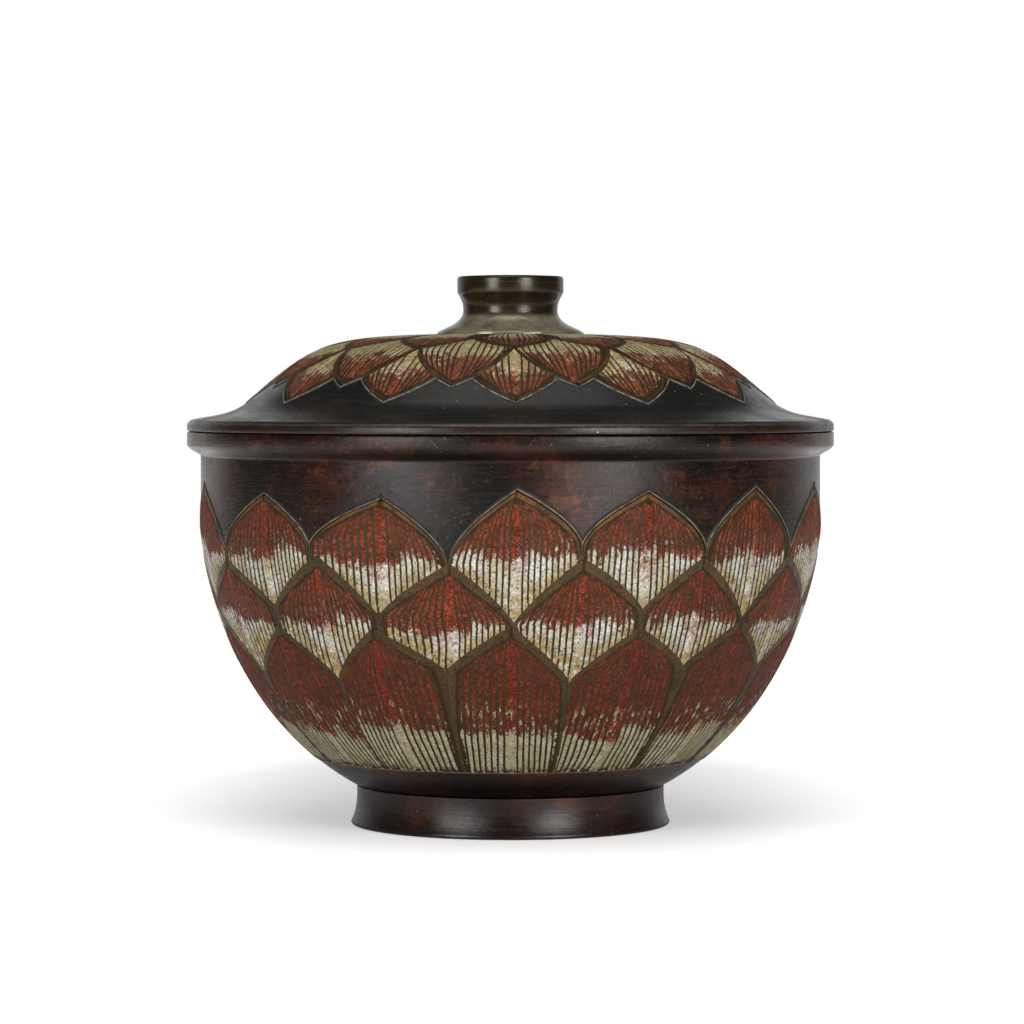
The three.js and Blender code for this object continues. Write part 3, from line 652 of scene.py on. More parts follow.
def gridObject(name, columns, rows):
    deselectAll()
    bpy.ops.mesh.primitive_grid_add(x_subdivisions=columns, y_subdivisions=rows, size=2)
    piece = bpy.context.object
    piece.name = piece.data.name = name
    places = vertexArray(piece.data)
    column = np.rint((places[:, 0] + 1) / 2 * columns).astype(int)
    line = np.rint((1 - places[:, 1]) / 2 * rows).astype(int)
    setAttribute(piece.data, "column", column)
    setAttribute(piece.data, "line", line)
    editAll()
    bpy.ops.mesh.extrude_region_move(TRANSFORM_OT_translate={"value": (0, 0, 1)})
    bpy.ops.object.mode_set(mode="OBJECT")
    return piece


def mirrored(stations, negate=False):
    # the right half's stations, and the same on the left
    left = [-station if negate else station for station in reversed(stations)]
    return np.array([*left, *stations]).T


def shapeSlab(name, across, depth, lift, foot, facts):
    # a closed slab: the grid's upper sheet takes the stations, and its lower sheet lies straight under it
    piece = gridObject(name, across.shape[1] - 1, across.shape[0] - 1)
    mesh = piece.data
    column, line = (
        np.rint(readValues(mesh.attributes[key].data, "value")).astype(int) for key in ("column", "line")
    )
    upper = vertexArray(mesh)[:, 2] > 0.5
    height = np.where(upper, lift[line, column], foot[line, column])
    flat = np.c_[across[line, column], depth[line, column], height]
    mesh.vertices.foreach_set("co", flat.ravel())
    for key, values in facts.items():
        setAttribute(mesh, key, np.broadcast_to(values, across.shape)[line, column])
    deselectAll()
    bpy.context.view_layer.objects.active = piece
    piece.select_set(True)
    editAll()
    bpy.ops.mesh.remove_doubles(threshold=weld)
    bpy.ops.mesh.dissolve_degenerate(threshold=weld)
    closeEdit(petalCut["smoothAngle"])
    return piece


# edge of a petal from its face outwards: inset in mm, share of the face's lift, and a lift of its own in mm
bareProfile = (
    (0.78, 1, 0), (0.56, 0, 0.04), (0.26, 0, 0.03), (0.12, 0, 0.34), (-0.08, 0, 0.46), (-0.30, 0, 0.34),
    (-0.7, 0, 0.1), (-1.2, 0, -0.05),
)
coveredProfile = (
    (0.78, 1, 0), (0.52, 1, 0), (0.26, 1, -0.02), (0.12, 1, -0.06), (0.03, 1, -0.14), (0.0, 1, -0.24),
    (-0.05, 0, -0.2), (-0.1, 0, -0.5),
)
joinedProfile = (
    (0.78, 1, 0), (0.52, 1, 0), (0.26, 1, 0), (0.12, 1, 0), (0.06, 1, 0), (0.04, 1, 0),
    (0.02, 1, -0.01), (0, 1, -0.03),
)


def petalPlate(row):
    # bronze of one petal: its edge, its border, the sunk field and the ribs in it
    field = row["field"]
    level = field[:, 1]
    lines, half, seen, edge = ribLines(row, level)
    inner = np.maximum(edge[:, 0] - petalCut["pocketEdge"], 0)
    face, pocket = faceLift(row, level), -petalCut["pocket"]
    stations = []  # from the middle outwards: across, depth, lift off the wall, inset, bare edge
    for i in range(lines.shape[1]):
        for side, top in ((-1, 0), (-petalCut["ribTopShare"], 1), (petalCut["ribTopShare"], 1), (1, 0)):
            across = np.where(seen[:, i], lines[:, i] + side * half[:, i], inner)
            drop = np.where(seen[:, i] & (top > 0), petalCut["ribTop"], pocket)
            stations.append((across, level, face + drop, ribInset, 0.0))
    stations.append((inner, level, face + pocket, pocketInset, 0.0))
    stations.append((field[:, 0], level, face, borderInset, 0.0))

    def bareAt(depth):
        # 1 where a petal's edge lies bare, 0 where the petals of the next row cover it
        return np.clip((row["bareUntil"] + 1 - depth / mm) / 2, 0, 1) if row["bareUntil"] else 0 * depth

    def blend(depth, bare, covered, joined):
        plain = covered + (joined - covered) * np.clip((depth / mm - row["joinedFrom"]) / 4, 0, 1)
        return plain + (bare - plain) * bareAt(depth)

    for profiles in zip(bareProfile, coveredProfile, joinedProfile):
        insets, shares, lifts = zip(*profiles)
        loop = offsetLoop(row, lambda depth: blend(depth, *insets) * mm)
        depth = loop[:, 1]
        lift = blend(depth, *shares) * faceLift(row, np.maximum(depth, 0)) + blend(depth, *lifts) * mm
        stations.append((loop[:, 0], depth, lift, blend(depth, *insets), bareAt(depth)))
    columns = ([np.broadcast_to(value, len(field)) for value in station] for station in stations)
    across, *others = zip(*columns)
    across = mirrored(across, negate=True)
    depth, lift, inset, bare = (mirrored(values) for values in others)
    facts = {"inset": inset, "depth": depth / mm, "bareEdge": bare}
    return shapeSlab(row["name"] + "Plate", across, depth, lift, np.full_like(lift, -petalCut["sunk"]), facts)


def nextDistance(row, across, depth):
    # distance in mm to the outline of the petals that overlap this one
    over, farAway = row["next"], petalCut["farAway"]
    if not over:
        return np.full(across.shape, float(farAway))
    width = halfWidth(over, (over["tip"] - levelAt(row, depth)) * row["pointing"])
    away = halfPitchAt(row, depth) - np.abs(across) - width
    rise = np.gradient(width, axis=0) / np.maximum(np.gradient(depth, axis=0), 1e-6)
    return np.clip(away / np.hypot(1, rise) / mm, 0, farAway)


def enamelSlab(row):
    # enamel of one petal: a low ridge for each strip, with valleys in which the ribs lie bare
    field = row["field"]
    lines, half, seen, edge = ribLines(row, field[:, 1])
    outer = np.maximum(edge[:, 0] - petalCut["enamelEdge"], 0)
    draw = np.random.default_rng(row["seed"])
    stations, tops = [], []
    for i in range(lines.shape[1]):
        for side in (-1, 0, 1):
            ragged = 1 + side * draw.uniform(-petalCut["ragged"], petalCut["ragged"], len(field))
            stations.append(np.where(seen[:, i], lines[:, i] + side * half[:, i] * ragged, outer))
            tops.append(np.where(seen[:, i] & (side == 0), 0.0, 1.0))
    stations.append(outer)
    tops.append(np.ones(len(field)))
    across, top = mirrored(stations, negate=True), mirrored(tops)
    depth = np.repeat(field[:, 1:], across.shape[1], axis=1)
    near = nextDistance(row, across, depth)
    # at the next row's outline the valleys are full
    top = np.maximum(top, np.clip((draw.uniform(-0.5, 0.5, near.shape) - near) / petalCut["blurred"], 0, 1))
    lift = faceLift(row, depth) + petalCut["valley"] + (petalCut["enamelRise"] - petalCut["valley"]) * top
    foot = faceLift(row, depth) - petalCut["enamelThickness"]
    inward = (field[:, :1] - np.abs(across)) / mm
    inward = np.minimum(inward * petalCut["sideShare"], (depth - field[0, 1]) / mm * petalCut["tipShare"])
    facts = {"depth": depth / mm, "edge": inward, "nextEdge": near, "top": top}
    return shapeSlab(row["name"] + "Enamel", across, depth, lift, foot, facts)


def placedAngle(row, angle):
    # the hand-laid petals close up towards the front and stray a little from their even places
    angles, strays = zip(*row["stray"])
    stray = np.interp(np.degrees(angle), angles, strays)
    return angle - math.radians(row["drift"]) * np.sin(angle) + np.radians(stray)


def shouldered(row, number, across, depth):
    # the gap on either side of a petal closes a little earlier or later than is even
    right = row["shoulders"].get(number, 0) * mm
    left = row["shoulders"].get((number - 1) % row["petals"], 0) * mm
    length = row["length"] + np.where(across * row["pointing"] > 0, right, left)
    depth = np.maximum(depth, 0.2 * mm)
    moved = across * lobe(row, depth / length) / lobe(row, depth / row["length"])
    room = halfPitchAt(row, depth) - petalCut["sideGap"]
    over = np.abs(moved) / room - 1
    return np.where(over > 0, np.sign(moved) * room * (1 + 0.0004 * np.tanh(20 * over)), moved)


def bendOnto(row, template, number, wobble, tipShift, lean, broad):
    # a copy of a flat petal with its own mesh, bent on to the wall at its place in the row
    centre = (2 * number + row["shifted"]) * row["halfPitch"]
    centre -= math.tau * (centre > math.pi)
    mesh = template.data.copy()
    across, depth, lift = vertexArray(mesh).T
    limit = np.maximum(halfWidth(row, np.maximum(depth, petalCut["guard"])), petalCut["guard"])
    calm = np.clip(1 - (across / limit) ** 2, 0, 1)
    bent = across + calm * sum(
        size * np.sin(depth / length + across / (length * 1.7) + phase) for size, length, phase in wobble
    )
    inner = np.clip((limit - np.abs(across)) / petalCut["leanReach"], 0, 1)
    bent = shouldered(row, number, bent + inner * (lean + broad * across / limit), depth)
    level = levelAt(row, depth) + row["pointing"] * tipShift * np.clip(1 - depth / row["length"], 0, 1.1)
    angle = placedAngle(row, centre + row["pointing"] * bent / onSkin(row["skin"], level)[0])
    r, z = onSkin(row["skin"], level, lift)
    mesh.vertices.foreach_set("co", np.c_[r * np.sin(angle), -r * np.cos(angle), z].ravel())
    layer = np.full_like(depth, 37.0 * (number + 1) + row["seed"])  # its own part of the noises
    own = np.c_[across / mm, depth / mm, layer].astype(np.float32)
    mesh.attributes.new("petalPlace", "FLOAT_VECTOR", "POINT").data.foreach_set("vector", own.ravel())
    mesh.update()
    name = f"{template.name}{number + 1:02d}"
    mesh.name = name
    piece = bpy.data.objects.new(name, mesh)
    bpy.context.scene.collection.objects.link(piece)
    return piece


def stripNumbers(row, slab):
    # for each face of an enamel slab, the strip between two ribs that it lies on
    corners = readValues(slab.data.loops, "vertex_index", int)
    starts = readValues(slab.data.polygons, "loop_start", int)
    flat = vertexArray(slab.data)[corners]
    middles = np.add.reduceat(flat, starts) / np.diff(np.r_[starts, len(corners)])[:, None]
    lines = ribLines(row, middles[:, 1])[0]
    return ((np.abs(middles[:, :1]) > lines).sum(axis=1) * np.sign(middles[:, 0])).astype(int)


def dressRow(row, body, bronze, enamel, nodePrefix):
    # all petals of a row; a row without a prefix stands in for no CAD node
    plate, slab = petalPlate(row), enamelSlab(row)
    strips, most = stripNumbers(row, slab), petalCut["strips"]
    draw = random.Random(row["seed"])
    for number in range(row["petals"]):
        wobble = [
            (draw.uniform(0.08, 0.22) * mm, draw.uniform(3, 9) * mm, draw.uniform(0, 6.3)) for _ in range(3)
        ]
        tipShift = row["tipShifts"].get(number, draw.uniform(-0.7, 0.7)) * mm
        lean = draw.uniform(-1, 1) * petalCut["lean"] * row["leanShare"]
        broad = row["broad"].get(number, draw.uniform(-0.3, 0.5)) * mm
        petalTone = draw.random()
        tones = np.array([0.72 * draw.random() + 0.28 * petalTone for _ in range(2 * most + 1)])
        piece = bendOnto(row, plate, number, wobble, tipShift, lean, broad)
        fit(piece, body, f"{body}_bronze", bronze)
        piece = bendOnto(row, slab, number, wobble, tipShift, lean, broad)
        setAttribute(piece.data, "stripTone", tones[strips + most], "FACE")
        nodes = [f"{nodePrefix}_{number + 1:02d}"] if nodePrefix else []
        fit(piece, body, "enamel", enamel, *nodes)
    for template in (plate, slab):
        mesh = template.data
        bpy.data.objects.remove(template)
        bpy.data.meshes.remove(mesh)
    print("petal row", row["name"])


# Rows of the bowl, from its rim down. Depths, borders, lifts and ribs are in mm, and a stray is a pair of
# degrees, from the front and off the even place. Petals are numbered from the front to the right.
topStray = (
    (-103, 0), (-77, -2.1), (-64, -1.6), (-51, 0.5), (-39, -0.85), (-26, 2.0), (-13, 1.4), (0, 1.3),
    (13, 0.15), (26, 0), (39, -0.35), (51, -0.5), (64, -0.8), (77, 0),
)
middleStray = (
    (-103, 0), (-77, -2.1), (-64, -1.6), (-51, 0.4), (-39, 0.7), (-26, 0), (-13, 1.8), (0, 0.65),
    (13, 0.6), (26, 0), (39, -0.55), (51, -0.55), (64, -1.2), (77, 0),
)
bottomStray = (
    (-77, 0), (-51, 0), (-39, 0), (-26, -1.8), (-13, -0.3), (0, 0.2), (13, -0.5), (26, 0), (39, -0.8),
    (51, -0.4), (64, -1.3), (77, 0),
)
never = 500  # mm, deeper than any petal
bowlRow = {
    "skin": bowlSkin, "petals": 14, "drift": 2.5, "pointing": 1, "ribHalf": (0.8, 0.56),
    "joinedFrom": never, "leanShare": 0.6, "broad": {},
}
topTip = bowlSkin["length"] - 12.2 * mm
middleTip = topTip - 26.2 * mm
bottomTip = middleTip - 25 * mm
bottomRoot = 21.2 * mm
bottomRow = makeRow("bowlBottom", {
    **bowlRow, "tip": bottomTip, "length": 16 * mm, "end": bottomTip - bottomRoot, "shifted": 0,
    "slopes": (1.2, 0.75),
    "border": (
        (0, 3.6), (6, 3.4), (12, 3.7), (17, 4.1), (21, 3.4), (27, 2.4), (36, 1.6), (50, 0.7), (70, 0.5),
    ),
    "lift": ((0, 0.55), (24, 0.42), (71, 0.2)), "ribs": (2.75, 2.65), "limit": 48, "bareUntil": 0,
    "next": None, "joinedFrom": 21, "broad": {0: -0.3, 13: 0.3, 1: 0.7, 12: 0.6, 2: 0.6, 11: 0.6},
    "stray": bottomStray, "seed": 13, "tipShifts": {0: 0.7, 13: -1.1, 1: -0.5, 12: -1.7, 2: 1.0},
    "shoulders": {13: 1.7, 0: 6.4, 1: 0.7, 2: 3.3, 12: 6.5, 11: 7.0},
})
middleRow = makeRow("bowlMiddle", {
    **bowlRow, "tip": middleTip, "length": 19 * mm, "end": 51 * mm, "shifted": 1, "slopes": (1.35, 0.7),
    "border": ((0, 3.4), (8, 3.4), (16, 2.4), (24, 1.4)), "lift": ((0, 0.5), (25, 0.36), (50, 0.22)),
    "ribs": (2.75, 2.6), "limit": 25, "bareUntil": 0, "next": bottomRow, "stray": middleStray, "seed": 12,
    "tipShifts": {13: -0.2, 0: 1.8, 12: 2.1, 1: 1.5, 11: -1.1, 2: 0.7},
    "shoulders": {13: 3.9, 0: -1.0, 1: 4.0, 12: 1.5, 11: -0.7},
})
topRow = makeRow("bowlTop", {
    **bowlRow, "tip": topTip, "length": 24 * mm, "end": 52.5 * mm, "shifted": 0, "slopes": (1.6, 0.25),
    "border": ((0, 2.2), (8, 2.0), (16, 1.4), (26, 0.9)), "lift": ((0, 0.25), (26, 0.21), (53, 0.16)),
    "ribs": (2.75, 2.6), "limit": 25, "bareUntil": 23, "next": middleRow, "stray": topStray, "seed": 11,
    "tipShifts": {0: 1.4, 13: -2.1, 12: -1.15, 1: 0.3, 2: 1.3, 11: 0.5},
    "shoulders": {0: -4.6, 1: -2.4, 13: 2.3, 12: -4.1},
})

# Rows of the cover, from its edge up
coverRow = {
    "skin": coverSkin, "petals": 12, "drift": 2.1, "pointing": -1,
    "ribHalf": (0.58, 0.52), "joinedFrom": never, "leanShare": 0.4, "slopes": (1.7, 0.45), "tipShifts": {},
    "broad": {}, "shoulders": {},
    "stray": (
        (-110, 0), (-90, 1.5), (-68, 2.6), (-45, 2.1), (0, 1.0), (30, 0.6), (60, 1.0), (90, 0.5), (110, 0),
    ),
}
outerTip = float(makeSkin(flangeCurve)["length"]) + 0.25 * mm
secondTip = outerTip + 8.65 * mm
innerTip = secondTip + 26 * mm
innerRow = makeRow("coverInner", {
    **coverRow, "tip": innerTip, "length": 14 * mm, "end": coverSkin["length"] - 0.5 * mm - innerTip,
    "shifted": 0, "border": ((0, 2.0), (14, 1.5)), "lift": ((0, 0.5), (14, 0.4), (30, 0.2)),
    "ribs": (2.2, 2.3), "limit": 18, "bareUntil": 0, "next": None, "seed": 23,
})
secondRow = makeRow("coverSecond", {
    **coverRow, "tip": secondTip, "length": 26 * mm, "end": 41 * mm, "shifted": 1,
    "border": ((0, 1.8), (10, 1.9), (26, 1.5)),
    "lift": ((0, 0.27), (5, 0.36), (9, 0.42), (26, 0.32), (41, 0.2)), "ribs": (2.6, 2.75), "limit": 20.5,
    "bareUntil": 5.4, "next": innerRow, "seed": 22,
})
outerRow = makeRow("coverOuter", {
    **coverRow, "tip": outerTip, "length": 26 * mm, "end": 35.5 * mm, "shifted": 0,
    "border": ((0, 1.8), (14, 1.5)), "lift": ((0, 0.25), (14, 0.22), (36, 0.18)), "ribs": (2.6, 2.75),
    "limit": 18.5, "bareUntil": 14, "next": secondRow, "seed": 21,
})

topEnamel = enamelMaterial("topEnamel", {"limit": 25})
middleEnamel = enamelMaterial("middleEnamel", {"limit": 25})
# the bottom row's red and white are dimmed: painted shade on the downward-facing row, over a yellower enamel
bottomEnamelShaded = enamelMaterial("bottomEnamelShaded", {
    "red": (126, 45, 27), "darkRed": (92, 35, 22), "white": (199, 194, 164),
    "cream": (183, 171, 130), "limit": 48, "windows": 16.0, "strokes": 3.0, "wash": 4.0,
    "bareSpread": 1.4, "root": (bottomTip - bottomRoot) / mm,
})
coverLook = {
    "red": (145, 78, 54), "darkRed": (106, 58, 38), "stain": (120, 96, 54),
    "white": (214, 205, 166), "cream": (196, 183, 134), "smear": 6.0, "spread": 3.5, "ragged": 4.5,
    "strokes": 4.0, "windows": 6.0,
}
outerEnamel = enamelMaterial("outerEnamel", {
    **coverLook, "limit": 18, "white": (228, 219, 186), "cream": (206, 193, 146),
})
secondEnamel = enamelMaterial("secondEnamel", {
    **coverLook, "limit": 20.5, "white": (202, 193, 154), "cream": (188, 174, 124),
})
innerEnamel = enamelMaterial("innerEnamel", {**coverLook, "limit": 18})
for row, body, bronze, enamel, nodePrefix in (
    (topRow, "bowl", topBronze, topEnamel, "bowl_enamel_top"),
    (middleRow, "bowl", middleBronze, middleEnamel, "bowl_enamel_middle"),
    (bottomRow, "bowl", bottomBronze, bottomEnamelShaded, "bowl_enamel_bottom"),
    (outerRow, "cover", coverPetalBronze, outerEnamel, "cover_enamel_outer"),
    (secondRow, "cover", coverPetalBronze, secondEnamel, None),
    (innerRow, "cover", coverPetalBronze, innerEnamel, None),
):
    dressRow(row, body, bronze, enamel, nodePrefix)


# Bowl shell and foot

s = bowlSize
bead = {"low": 20.1 * mm, "high": bottomRoot, "rise": 0.2 * mm}  # copper line under the bottom row
beadLevels = np.array([bead["low"], bead["low"] + 0.2 * mm, bead["high"] - 0.25 * mm, bead["high"]])
wallLevels = np.r_[
    np.linspace(0, bead["low"] - mm, 5), beadLevels,
    np.linspace(bead["high"] + 3 * mm, bowlSkin["length"] - 45 * mm, 20)[:-1],
    np.arange(bowlSkin["length"] - 45 * mm, bowlSkin["length"] - 0.6 * mm, 1.1 * mm),
    bowlSkin["length"] - 0.5 * mm,
]
raised = bead["rise"] * np.isin(wallLevels, beadLevels[1:3])
outside = np.c_[onSkin(bowlSkin, wallLevels, raised)]
inside = np.c_[onSkin(bowlSkin, np.linspace(bowlSkin["length"], 0, 26), -s["thickness"])]
mouth = s["wallRadius"] - s["thickness"]
boss = s["footBore"] - 0.3 * mm
floorTop = s["underside"] + s["thickness"]
bowlOutline = [
    (0, s["underside"]), (boss * 0.4, s["underside"] + 0.9 * mm), (boss * 0.8, s["underside"] + 3.6 * mm),
    (boss - s["break"], s["boss"]), (boss, s["boss"] + s["break"]), (boss, s["footHeight"]),
    *outside,
    *around((s["wallRadius"], s["wallTop"]), (0.15, -0.12), (0.5, 0.2)),
    *around(s["rimCone"], (-0.4, -0.24), (0.1, 0.2)),
    *around((s["rimRadius"], s["rimBand"]), (-0.35, -0.45), (0, 0.3)),
    *corner((s["rimRadius"] - 0.8 * mm, s["rimTop"] - 0.8 * mm), 0.8 * mm, 0, 90, 5),
    *corner((mouth + 0.6 * mm, s["rimTop"] - 0.6 * mm), 0.6 * mm, 90, 180, 4),
    *inside,
    (boss * 0.8, floorTop + 3.6 * mm), (boss * 0.4, floorTop + 0.9 * mm), (0, floorTop),
]
bowlShell = turnedPiece("bowlShell", bowlOutline, segments=504)

# a grey halo on the wall round the top row's petals: painted shade beside their edges and in the V's between
# them, over a grey burnish
burnishAndShade = {"reach": 5.5 * mm, "fall": 1.5, "besideShare": 0.62, "from": 92 * mm}


def burnishAndShadeOf(mesh, row):
    # how near a point of the bare wall is to the outline of the row of petals
    x, y, z = vertexArray(mesh).T
    skin = row["skin"]
    level = np.interp(z, skin["points"][:, 1], skin["along"])
    angle = np.arctan2(x, -y)
    undrifted = angle.copy()
    for _ in range(6):  # each round comes nearer to the even place
        undrifted += angle - placedAngle(row, undrifted)
    pitch = 2 * row["halfPitch"]
    folded = np.abs((undrifted + pitch / 2) % pitch - pitch / 2)
    depth = (row["tip"] - level) * row["pointing"]
    within = np.maximum(depth, 0)
    beside = folded * radiusAt(row, within) - halfWidth(row, within)
    away = np.where(depth > 0, beside * burnishAndShade["besideShare"], np.hypot(folded * skin["points"][-1, 0], depth))
    return np.exp(-(np.maximum(away, 0) / burnishAndShade["reach"]) ** burnishAndShade["fall"]) * (z > burnishAndShade["from"])


setAttribute(bowlShell.data, "burnishAndShade", burnishAndShadeOf(bowlShell.data, topRow))
places = vertexArray(bowlShell.data)
outer = np.hypot(places[:, 0], places[:, 1])
levels = np.interp(places[:, 2], bowlSkin["points"][:, 1], bowlSkin["along"])
onBead = (levels > bead["low"] + 0.1 * mm) & (levels < bead["high"] - 0.1 * mm)
onBead &= outer > onSkin(bowlSkin, levels)[0] - mm
setAttribute(bowlShell.data, "bead", onBead)
fit(bowlShell, "bowl", "bowl_bronze", bowlBronze, "bowl_shell")

footTop = s["footHeight"] - 0.3 * mm
flare = bezier(
    (s["footRadius"], s["footEdge"]), (s["footRadius"] - 1.9 * mm, 5 * mm),
    (s["footTopRadius"] - 0.35 * mm, 9 * mm), (s["footTopRadius"], footTop), steps=14,
)
footOutline = [
    (s["footBore"] + s["break"], 0), (s["footRadius"] - s["footEdge"], 0),
    *corner((s["footRadius"] - s["footEdge"], s["footEdge"]), s["footEdge"], -90, 0, 6)[1:-1],
    *flare, (s["footBore"], footTop), (s["footBore"], s["break"]), (s["footBore"] + s["break"], 0),
]
footRing = turnedPiece("footRing", footOutline, segments=160)
fit(footRing, "bowl", "bowl_bronze", footBronze, "foot_ring")
print("bowl shell and foot")

# Cover, its locating ring, and the knob

s = coverSize
underLevels = np.interp(
    np.linspace(s["faceRadius"], s["crown"][0], 24), coverSkin["points"][::-1, 0], coverSkin["along"][::-1],
)
under = np.c_[onSkin(coverSkin, underLevels, -s["thickness"])][::-1]
rim = bowlSize["rimRadius"]
coverOutline = [
    (s["faceRadius"], s["face"]), *around((rim, s["face"]), (-0.5, 0), (-0.12, 0.14), (0, 0.5)),
    *around((rim, s["bandTop"]), (0, -0.2), (-0.25, 0.45), (-0.85, 1.15), (-1.5, 1.65)),
    *flangeCurve[::6], *domeCurve[::10][1:],
    (s["hole"], s["crown"][1]), (s["hole"], s["crown"][1] - s["thickness"]), *under,
    (s["faceRadius"], s["face"]),
]
coverShell = turnedPiece("coverShell", coverOutline, segments=192)
fit(coverShell, "cover", "cover_bronze", coverBronze, "cover_shell")

ring = {"outer": 119.2 * mm, "inner": 116.2 * mm, "foot": 150.1 * mm, "top": bowlSize["rimTop"]}
ringOutline = [
    (ring["inner"] + 0.4 * mm, ring["foot"]),
    *around((ring["outer"], ring["foot"]), (-0.6, 0), (-0.15, 0.2), (0, 0.6)),
    (ring["outer"], ring["top"]), (ring["inner"], ring["top"]),
    *around((ring["inner"], ring["foot"]), (0, 0.4), (0.4, 0)),
]
locatingRing = turnedPiece("locatingRing", ringOutline, segments=160)
fit(locatingRing, "cover", "bare_bronze", bareBronze, "cover_locating_ring")

k = {
    "seat": 197.0 * mm, "top": 220.9 * mm, "radius": 21.4 * mm, "band": 213.9 * mm,
    "neck": (19.0 * mm, 207.1 * mm), "skirt": 29.6 * mm, "skirtEdge": 0.9 * mm, "shank": 5 * mm,
    "rivetTop": 189.7 * mm, "rivet": 8 * mm, "rivetHeight": 2.4 * mm, "dish": 0.5 * mm,
}
rivetFoot = k["rivetTop"] - k["rivetHeight"]
skirtEdge = (k["skirt"], k["seat"] + k["skirtEdge"])
bandFoot = (k["radius"], k["band"])
knobOutline = [
    (0, rivetFoot), (k["rivet"] * 0.6, rivetFoot + 0.1 * mm),
    *around((k["rivet"], k["rivetTop"]), (-0.7, -1.5), (0, -0.5), (0, 0)),
    (k["shank"], k["rivetTop"]), (k["shank"], k["seat"]),
    *around((k["skirt"], k["seat"]), (0, 0), (0, 0.5)), *around(skirtEdge, (-0.3, 0)),
    *bezier(*around(skirtEdge, (-0.6, 0.2), (-4.0, 2.3)), *around(k["neck"], (1.2, -6.2), (0, -1.2)), 14),
    *bezier(*around(k["neck"], (0, -0.4), (0, 3.2)), *around(bandFoot, (-1.2, -2.4), (-0.2, -0.3)), 12),
    *around(bandFoot, (0, 0.3)),
    *corner((k["radius"] - 1.3 * mm, k["top"] - k["dish"] - 1.3 * mm), 1.3 * mm, 0, 90, 6),
    (k["radius"] * 0.5, k["top"] - 0.1 * mm), (0, k["top"]),
]
knob = turnedPiece("knobTurned", knobOutline, segments=128)
fit(knob, "cover", "knob_bronze", knobBronze, "knob")

washer = {"radius": 11 * mm, "foot": 190.0 * mm, "top": 192.4 * mm}
washerOutline = [
    (s["hole"], washer["foot"]),
    *around((washer["radius"], washer["foot"]), (-0.6, 0), (-0.15, 0.2), (0, 0.6)),
    (washer["radius"], washer["top"]), (s["hole"], washer["top"]), (s["hole"], washer["foot"]),
]
knobWasher = turnedPiece("knobWasher", washerOutline, segments=96)
fit(knobWasher, "cover", "bare_bronze", bareBronze, "knob_washer")
print("cover and knob")


# Floor, light and camera

studio = {
    "floorRadius": 0.95, "floorHeight": -0.2 * mm, "floorShade": 0.85, "floorRoughness": 0.9,
    "glowAcross": (0.06, 0.17, 0.38, 0.68), "glowFar": (0.2, 0.42, 0, 0.4),
    "glowFront": (0.03, -0.16, 0, 0.26), "mirrorGlow": (0.03, 0.8), "mirrorRadius": (0.15, 0.6),
    "world": 0.22, "front": 0.05, "back": 0.6, "horizon": (0.55, 0.2), "behind": (0.35, 0.9),
    "aim": (0, 0, 0.11), "keyPower": (10.2, 11.6), "keySize": (0.5, 0.9), "keyAngles": (-38, 34),
    "keyHeight": 0.36, "keyDistance": 1.5, "topPower": 4.5, "topSize": (1.2, 1.2), "topHeight": 1.5,
    "topDistance": 0.15,
}
deselectAll()
bpy.ops.mesh.primitive_circle_add(
    vertices=96, radius=studio["floorRadius"], fill_type="NGON", location=(0, 0, studio["floorHeight"]),
)
floor = bpy.context.object
floor.name = "studioFloor"
material, m = newMaterial("floorPaper")
m.put("Base Color", (studio["floorShade"],) * 3 + (1,))
m.put("Roughness", studio["floorRoughness"])
m.put("Specular IOR Level", 0.0)
m.put("Emission Color", (1, 1, 1, 1))
cameraRays, mirroredRays = m.seenRays()
radius = m.add("VectorMath", {0: m.place}, operation="LENGTH").outputs["Value"]
# the floor's own glow is lowest round the foot and rises outwards, wider across than to the front: a painted
# shadow over the floor's real one
glow = m.ramp(m.calc("ABSOLUTE", m.part("X")), *studio["glowAcross"])
glow = m.plus(glow, m.ramp(radius, *studio["glowFar"]))
glow = m.calc("ADD", glow, m.ramp(m.part("Y"), *studio["glowFront"]), clamp=True)
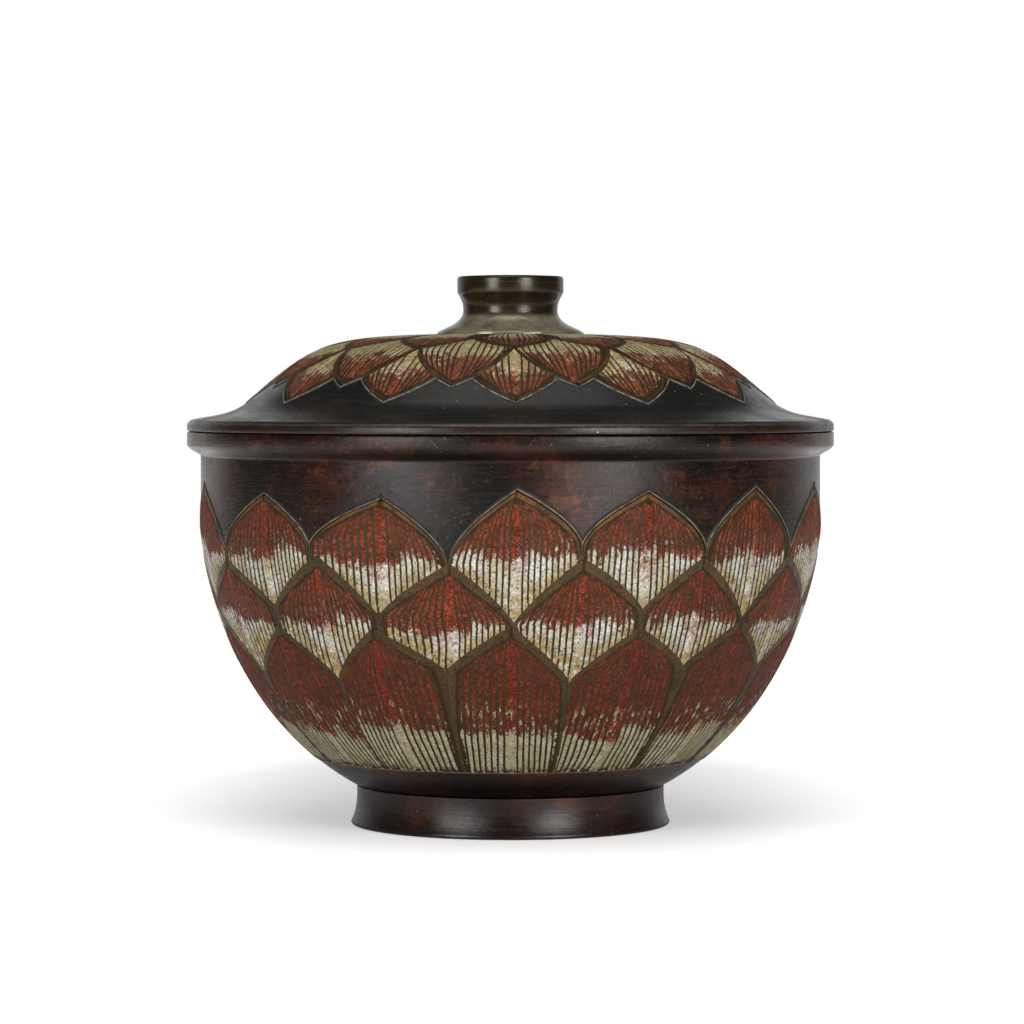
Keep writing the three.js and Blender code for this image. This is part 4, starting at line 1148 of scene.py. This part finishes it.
# in reflections the floor is dark near the object: a painted shadow too
mirroredGlow = m.times(mirroredRays, m.ramp(radius, *studio["mirrorRadius"], *studio["mirrorGlow"]))
m.put("Emission Strength", m.most(m.times(cameraRays, glow), mirroredGlow))
floor.data.materials.append(material)

# the backdrop is white behind the object, and the room behind the camera is dim
world = bpy.data.worlds.new("studioWorld")
bpy.context.scene.world = world
world.use_nodes = True
m = Shading(world.node_tree, "Background", "Generated")
horizon = m.ramp(m.calc("ABSOLUTE", m.part("Z")), *studio["horizon"])
behind = m.times(m.ramp(m.part("Y"), *studio["behind"]), horizon)
behind = m.ramp(behind, 0, 1, studio["front"], studio["back"])
cameraRays, mirroredRays = m.seenRays()
mirroredRoom = m.add("Mix", {0: mirroredRays, 2: studio["world"], 3: behind}, data_type="FLOAT").outputs[0]
m.put("Strength", m.most(cameraRays, mirroredRoom))
m.put("Color", (1, 1, 1, 1))


def softLight(name, angle, height, distance, size, power):
    a = math.radians(angle)
    place = Vector((math.sin(a) * distance, -math.cos(a) * distance, height))
    bpy.ops.object.light_add(type="AREA", location=place)
    light = bpy.context.object
    light.name = name
    light.data.shape = "RECTANGLE"
    light.data.size, light.data.size_y = size
    light.data.energy = power
    light.rotation_euler = (Vector(studio["aim"]) - place).to_track_quat("-Z", "Y").to_euler()


for name, angle, power in zip(("softboxLeft", "softboxRight"), studio["keyAngles"], studio["keyPower"]):
    softLight(name, angle, studio["keyHeight"], studio["keyDistance"], studio["keySize"], power)
softLight("softboxTop", 0, *(studio["top" + key] for key in ("Height", "Distance", "Size", "Power")))

cameraView = {
    "distance": 1.6128, "height": 0.17951, "side": 0.000645, "tilt": 1.919, "lens": 140.625, "sensor": 36,
    "clipStart": 0.01, "clipEnd": 50,
}
bpy.ops.object.camera_add(
    location=(cameraView["side"], -cameraView["distance"], cameraView["height"]),
    rotation=(math.radians(90 - cameraView["tilt"]), 0, 0),
)
camera = bpy.context.object
camera.data.lens = cameraView["lens"]
camera.data.sensor_width = cameraView["sensor"]
camera.data.clip_start, camera.data.clip_end = cameraView["clipStart"], cameraView["clipEnd"]
bpy.context.scene.camera = camera
bpy.context.scene.view_settings.view_transform = "Standard"

print("scene ready")
